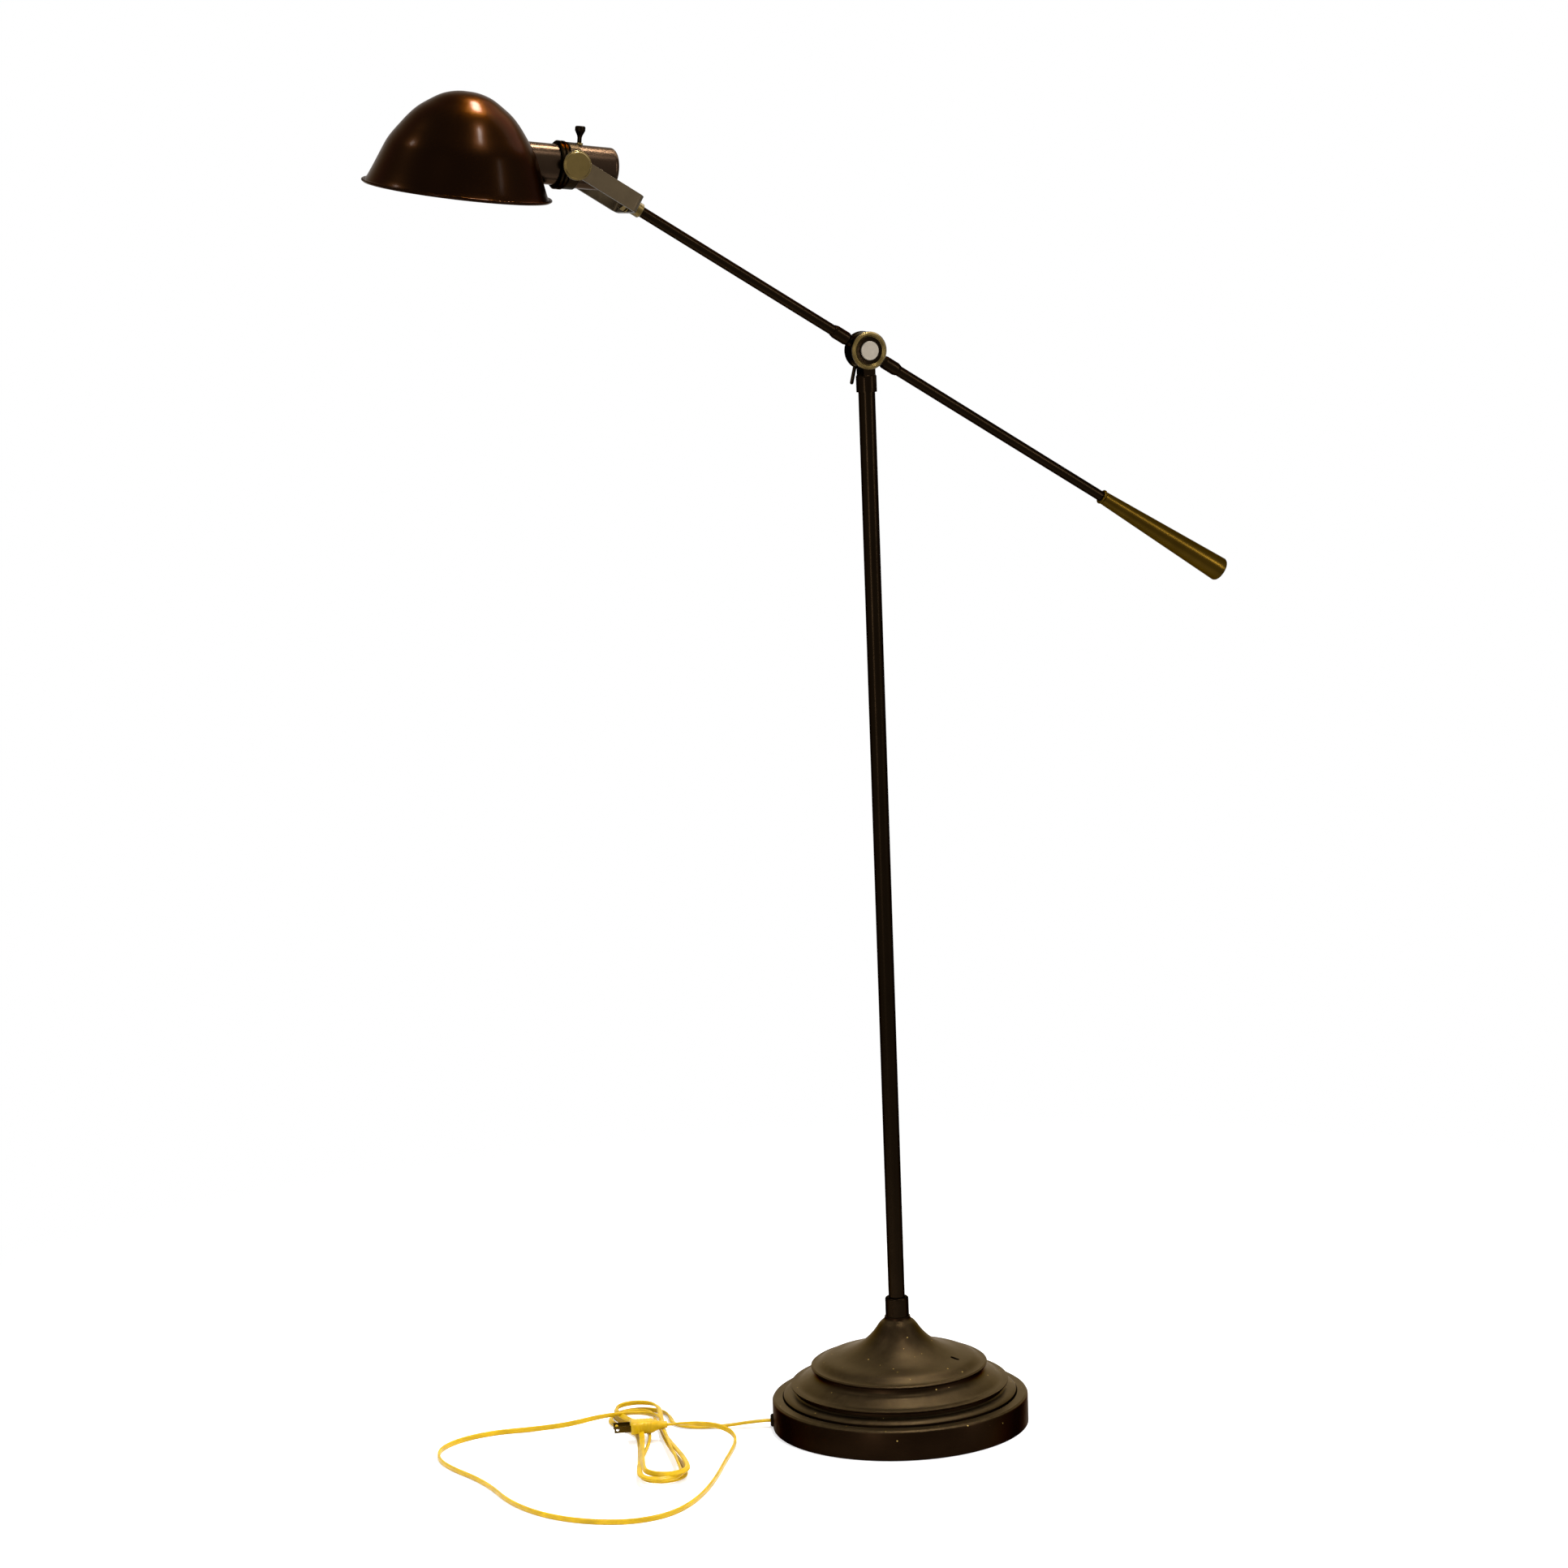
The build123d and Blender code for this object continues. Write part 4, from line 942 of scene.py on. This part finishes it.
def make_floor():
    """Pale floor that keeps the lamp's shadow and turns to plain white away from it."""
    shadow_reach = 0.35
    white_from = 1.3
    brightening = 0.42
    material, tree, place = new_material("floor_paper")
    distance = add_node(tree, "ShaderNodeVectorMath", {0: place}, operation="LENGTH").outputs["Value"]
    away = remap(tree, distance, shadow_reach, white_from, interpolation_type="SMOOTHSTEP")
    seen = white_view(tree)
    paper = add_node(tree, "ShaderNodeBsdfDiffuse", {"Color": shaded(linear("#f4f4f4"))})
    lift = combine(tree, "MULTIPLY", seen, brightening)
    glow = add_node(tree, "ShaderNodeEmission", {"Color": white, "Strength": lift})
    near = add_node(tree, "ShaderNodeAddShader", {0: paper.outputs["BSDF"], 1: glow.outputs["Emission"]})
    far = add_node(tree, "ShaderNodeEmission", {"Color": white, "Strength": 1.0})
    whole = add_node(tree, "ShaderNodeMixShader", {0: combine(tree, "MULTIPLY", away, seen),
                                                   1: near.outputs["Shader"], 2: far.outputs["Emission"]})
    add_node(tree, "ShaderNodeOutputMaterial", {"Surface": whole.outputs["Shader"]})
    half = 12
    corners = [(-half, -half, 0), (half, -half, 0), (half, half, 0), (-half, half, 0)]
    mesh = bpy.data.meshes.new("floor")
    mesh.from_pydata(corners, [], [(0, 1, 2, 3)])
    mesh.materials.append(material)
    add_object("floor", mesh)


# Operators
class LAMP_OT_stage(bpy.types.Operator):
    """Adds the camera, the lamps, the white surroundings and the floor"""
    bl_idname = "reading_lamp.stage"
    bl_label = "Stage"

    def execute(self, context):
        stage = context.scene.lamp_stage
        pole = (0, 0, 0.8)
        head = (-0.35, 0, 1.2)
        shade = (-0.39, 0, 1.2)
        make_camera(stage)
        make_lamp("left_strip", (-2.35, -2.1, 1.3), pole, stage.strips, 0.24, 2.2)
        make_lamp("right_strip", (2.05, -2.4, 1.6), pole, stage.strips, 0.24, 2.2)
        make_lamp("top_lamp", (0.28, 0.3, 2.77), head, stage.top, 0.28, spread=math.radians(40))
        make_lamp("side_lamp", (1.0, 0.42, 2.45), shade, stage.side, 1.3)
        make_lamp("front_lamp", (0.2, -0.84, 2.67), head, stage.front, 0.13)
        make_lamp("left_lamp", (-1.5, 0.45, 2.45), head, stage.left, 0.16)
        make_world(stage.sky)
        make_floor()
        context.scene.view_settings.view_transform = "Standard"
        return {"FINISHED"}


class LAMP_OT_cord(bpy.types.Operator):
    """Adds the flat gold flex with its hank and its moulded plug"""
    bl_idname = "reading_lamp.cord"
    bl_label = "Cord and plug"

    def execute(self, context):
        sizes = context.scene.lamp_sizes
        make_materials()
        flex, exit_point = make_flex(sizes)
        shell = make_plug(sizes)
        dress("olive_brass", "plug_blades")
        dress("ring_bronze", "cord_grommet")
        return {"FINISHED"}


class LAMP_OT_base(bpy.types.Operator):
    """Finishes the weighted base, its felt and its fixings"""
    bl_idname = "reading_lamp.base"
    bl_label = "Base"

    def execute(self, context):
        make_felt()
        soften("bronze", 0, "base_drum", "base_cover")
        dress("iron", "base_weight")
        dress("zinc", "base_nipple", "base_washer", "base_nut")
        return {"FINISHED"}


class LAMP_OT_pole(bpy.types.Operator):
    """Finishes the pole, its collar and the plug in its foot"""
    bl_idname = "reading_lamp.pole"
    bl_label = "Pole"

    def execute(self, context):
        soften("black_bronze", 0, "pole")
        soften("black_bronze", context.scene.lamp_sizes.edge, "pole_collar")
        dress("zinc", "pole_foot_plug")
        return {"FINISHED"}


class LAMP_OT_knuckle(bpy.types.Operator):
    """Finishes the knuckle with its bezel, bolt and tension lever"""
    bl_idname = "reading_lamp.knuckle"
    bl_label = "Knuckle"

    def execute(self, context):
        edge = context.scene.lamp_sizes.edge
        soften("black_bronze", edge, "knuckle_fork")
        soften("black_bronze", edge / 2, "lever_hub", "lever_nut")
        soften("black_bronze", 0, "lever_bar")
        make_bezel(edge / 2)
        soften("nickel", 0, "pivot_bolt")
        dress("fibre", "knuckle_washers")
        return {"FINISHED"}


class LAMP_OT_arm(bpy.types.Operator):
    """Finishes the arm, its counterweight and the yoke"""
    bl_idname = "reading_lamp.arm"
    bl_label = "Arm and yoke"

    def execute(self, context):
        edge = context.scene.lamp_sizes.edge
        soften("black_bronze", 0, "front_arm_tube", "rear_arm_tube")
        soften("black_bronze", edge / 2, "arm_hub")
        soften("olive_brass", edge / 2, "weight_joint_ring", "counterweight")
        soften("brass", edge / 2, "yoke_coupling", "yoke_nut_ring")
        soften("brass", edge, "yoke_lock_nut")
        soften("plate", edge, "yoke")
        dress("brass", "yoke_nipple")
        return {"FINISHED"}


class LAMP_OT_head(bpy.types.Operator):
    """Finishes the cup, ring, lampholder, bulb and switch key"""
    bl_idname = "reading_lamp.head"
    bl_label = "Head"

    def execute(self, context):
        sizes = context.scene.lamp_sizes
        soften("copper_bronze", sizes.edge / 2, "socket_cup")
        soften("ring_bronze", sizes.edge / 2, "socket_ring")
        soften("brass", sizes.edge / 2, "pivot_screws")
        dress("fibre", "yoke_washers")
        dress("phenolic", "switch_body")
        dress("card", "lampholder_liner")
        dress("brass", "lampholder_shell", "centre_contact", "bulb_cap", "key_bush")
        dress("glass", "bulb_glass")
        make_key(sizes)
        make_thread(sizes)
        return {"FINISHED"}


class LAMP_OT_shade(bpy.types.Operator):
    """Finishes the shade with its neck and beads"""
    bl_idname = "reading_lamp.shade"
    bl_label = "Shade"

    def execute(self, context):
        make_shade()
        soften("copper_bronze", 0, "neck_tube")
        soften("black_bronze", 0, "neck_bead")
        return {"FINISHED"}


class LAMP_PT_panel(bpy.types.Panel):
    """Lists the lamp's settings and its pieces"""
    bl_idname = "LAMP_PT_panel"
    bl_label = "Reading lamp"
    bl_space_type = "VIEW_3D"
    bl_region_type = "UI"
    bl_category = "Reading lamp"

    def draw(self, context):
        for group in (context.scene.lamp_finishes, context.scene.lamp_sizes, context.scene.lamp_stage):
            column = self.layout.column()
            for name in group.__annotations__:
                column.prop(group, name)
        for operator in operators:
            self.layout.operator(operator.bl_idname)


operators = (LAMP_OT_stage, LAMP_OT_cord, LAMP_OT_base, LAMP_OT_pole, LAMP_OT_knuckle, LAMP_OT_arm,
             LAMP_OT_head, LAMP_OT_shade)
groups = {"lamp_finishes": LampFinishes, "lamp_sizes": LampSizes, "lamp_stage": LampStage}


def register():
    for name, group in groups.items():
        bpy.utils.register_class(group)
        setattr(bpy.types.Scene, name, PointerProperty(type=group))
    for kind in (*operators, LAMP_PT_panel):
        bpy.utils.register_class(kind)


def unregister():
    for kind in (LAMP_PT_panel, *reversed(operators)):
        bpy.utils.unregister_class(kind)
    for name, group in groups.items():
        delattr(bpy.types.Scene, name)
        bpy.utils.unregister_class(group)


def main():
    register()
    bpy.ops.reading_lamp.stage()
    bpy.ops.reading_lamp.cord()
    bpy.ops.reading_lamp.base()
    bpy.ops.reading_lamp.pole()
    bpy.ops.reading_lamp.knuckle()
    bpy.ops.reading_lamp.arm()
    bpy.ops.reading_lamp.head()
    bpy.ops.reading_lamp.shade()


if __name__ == "__main__":
    main()
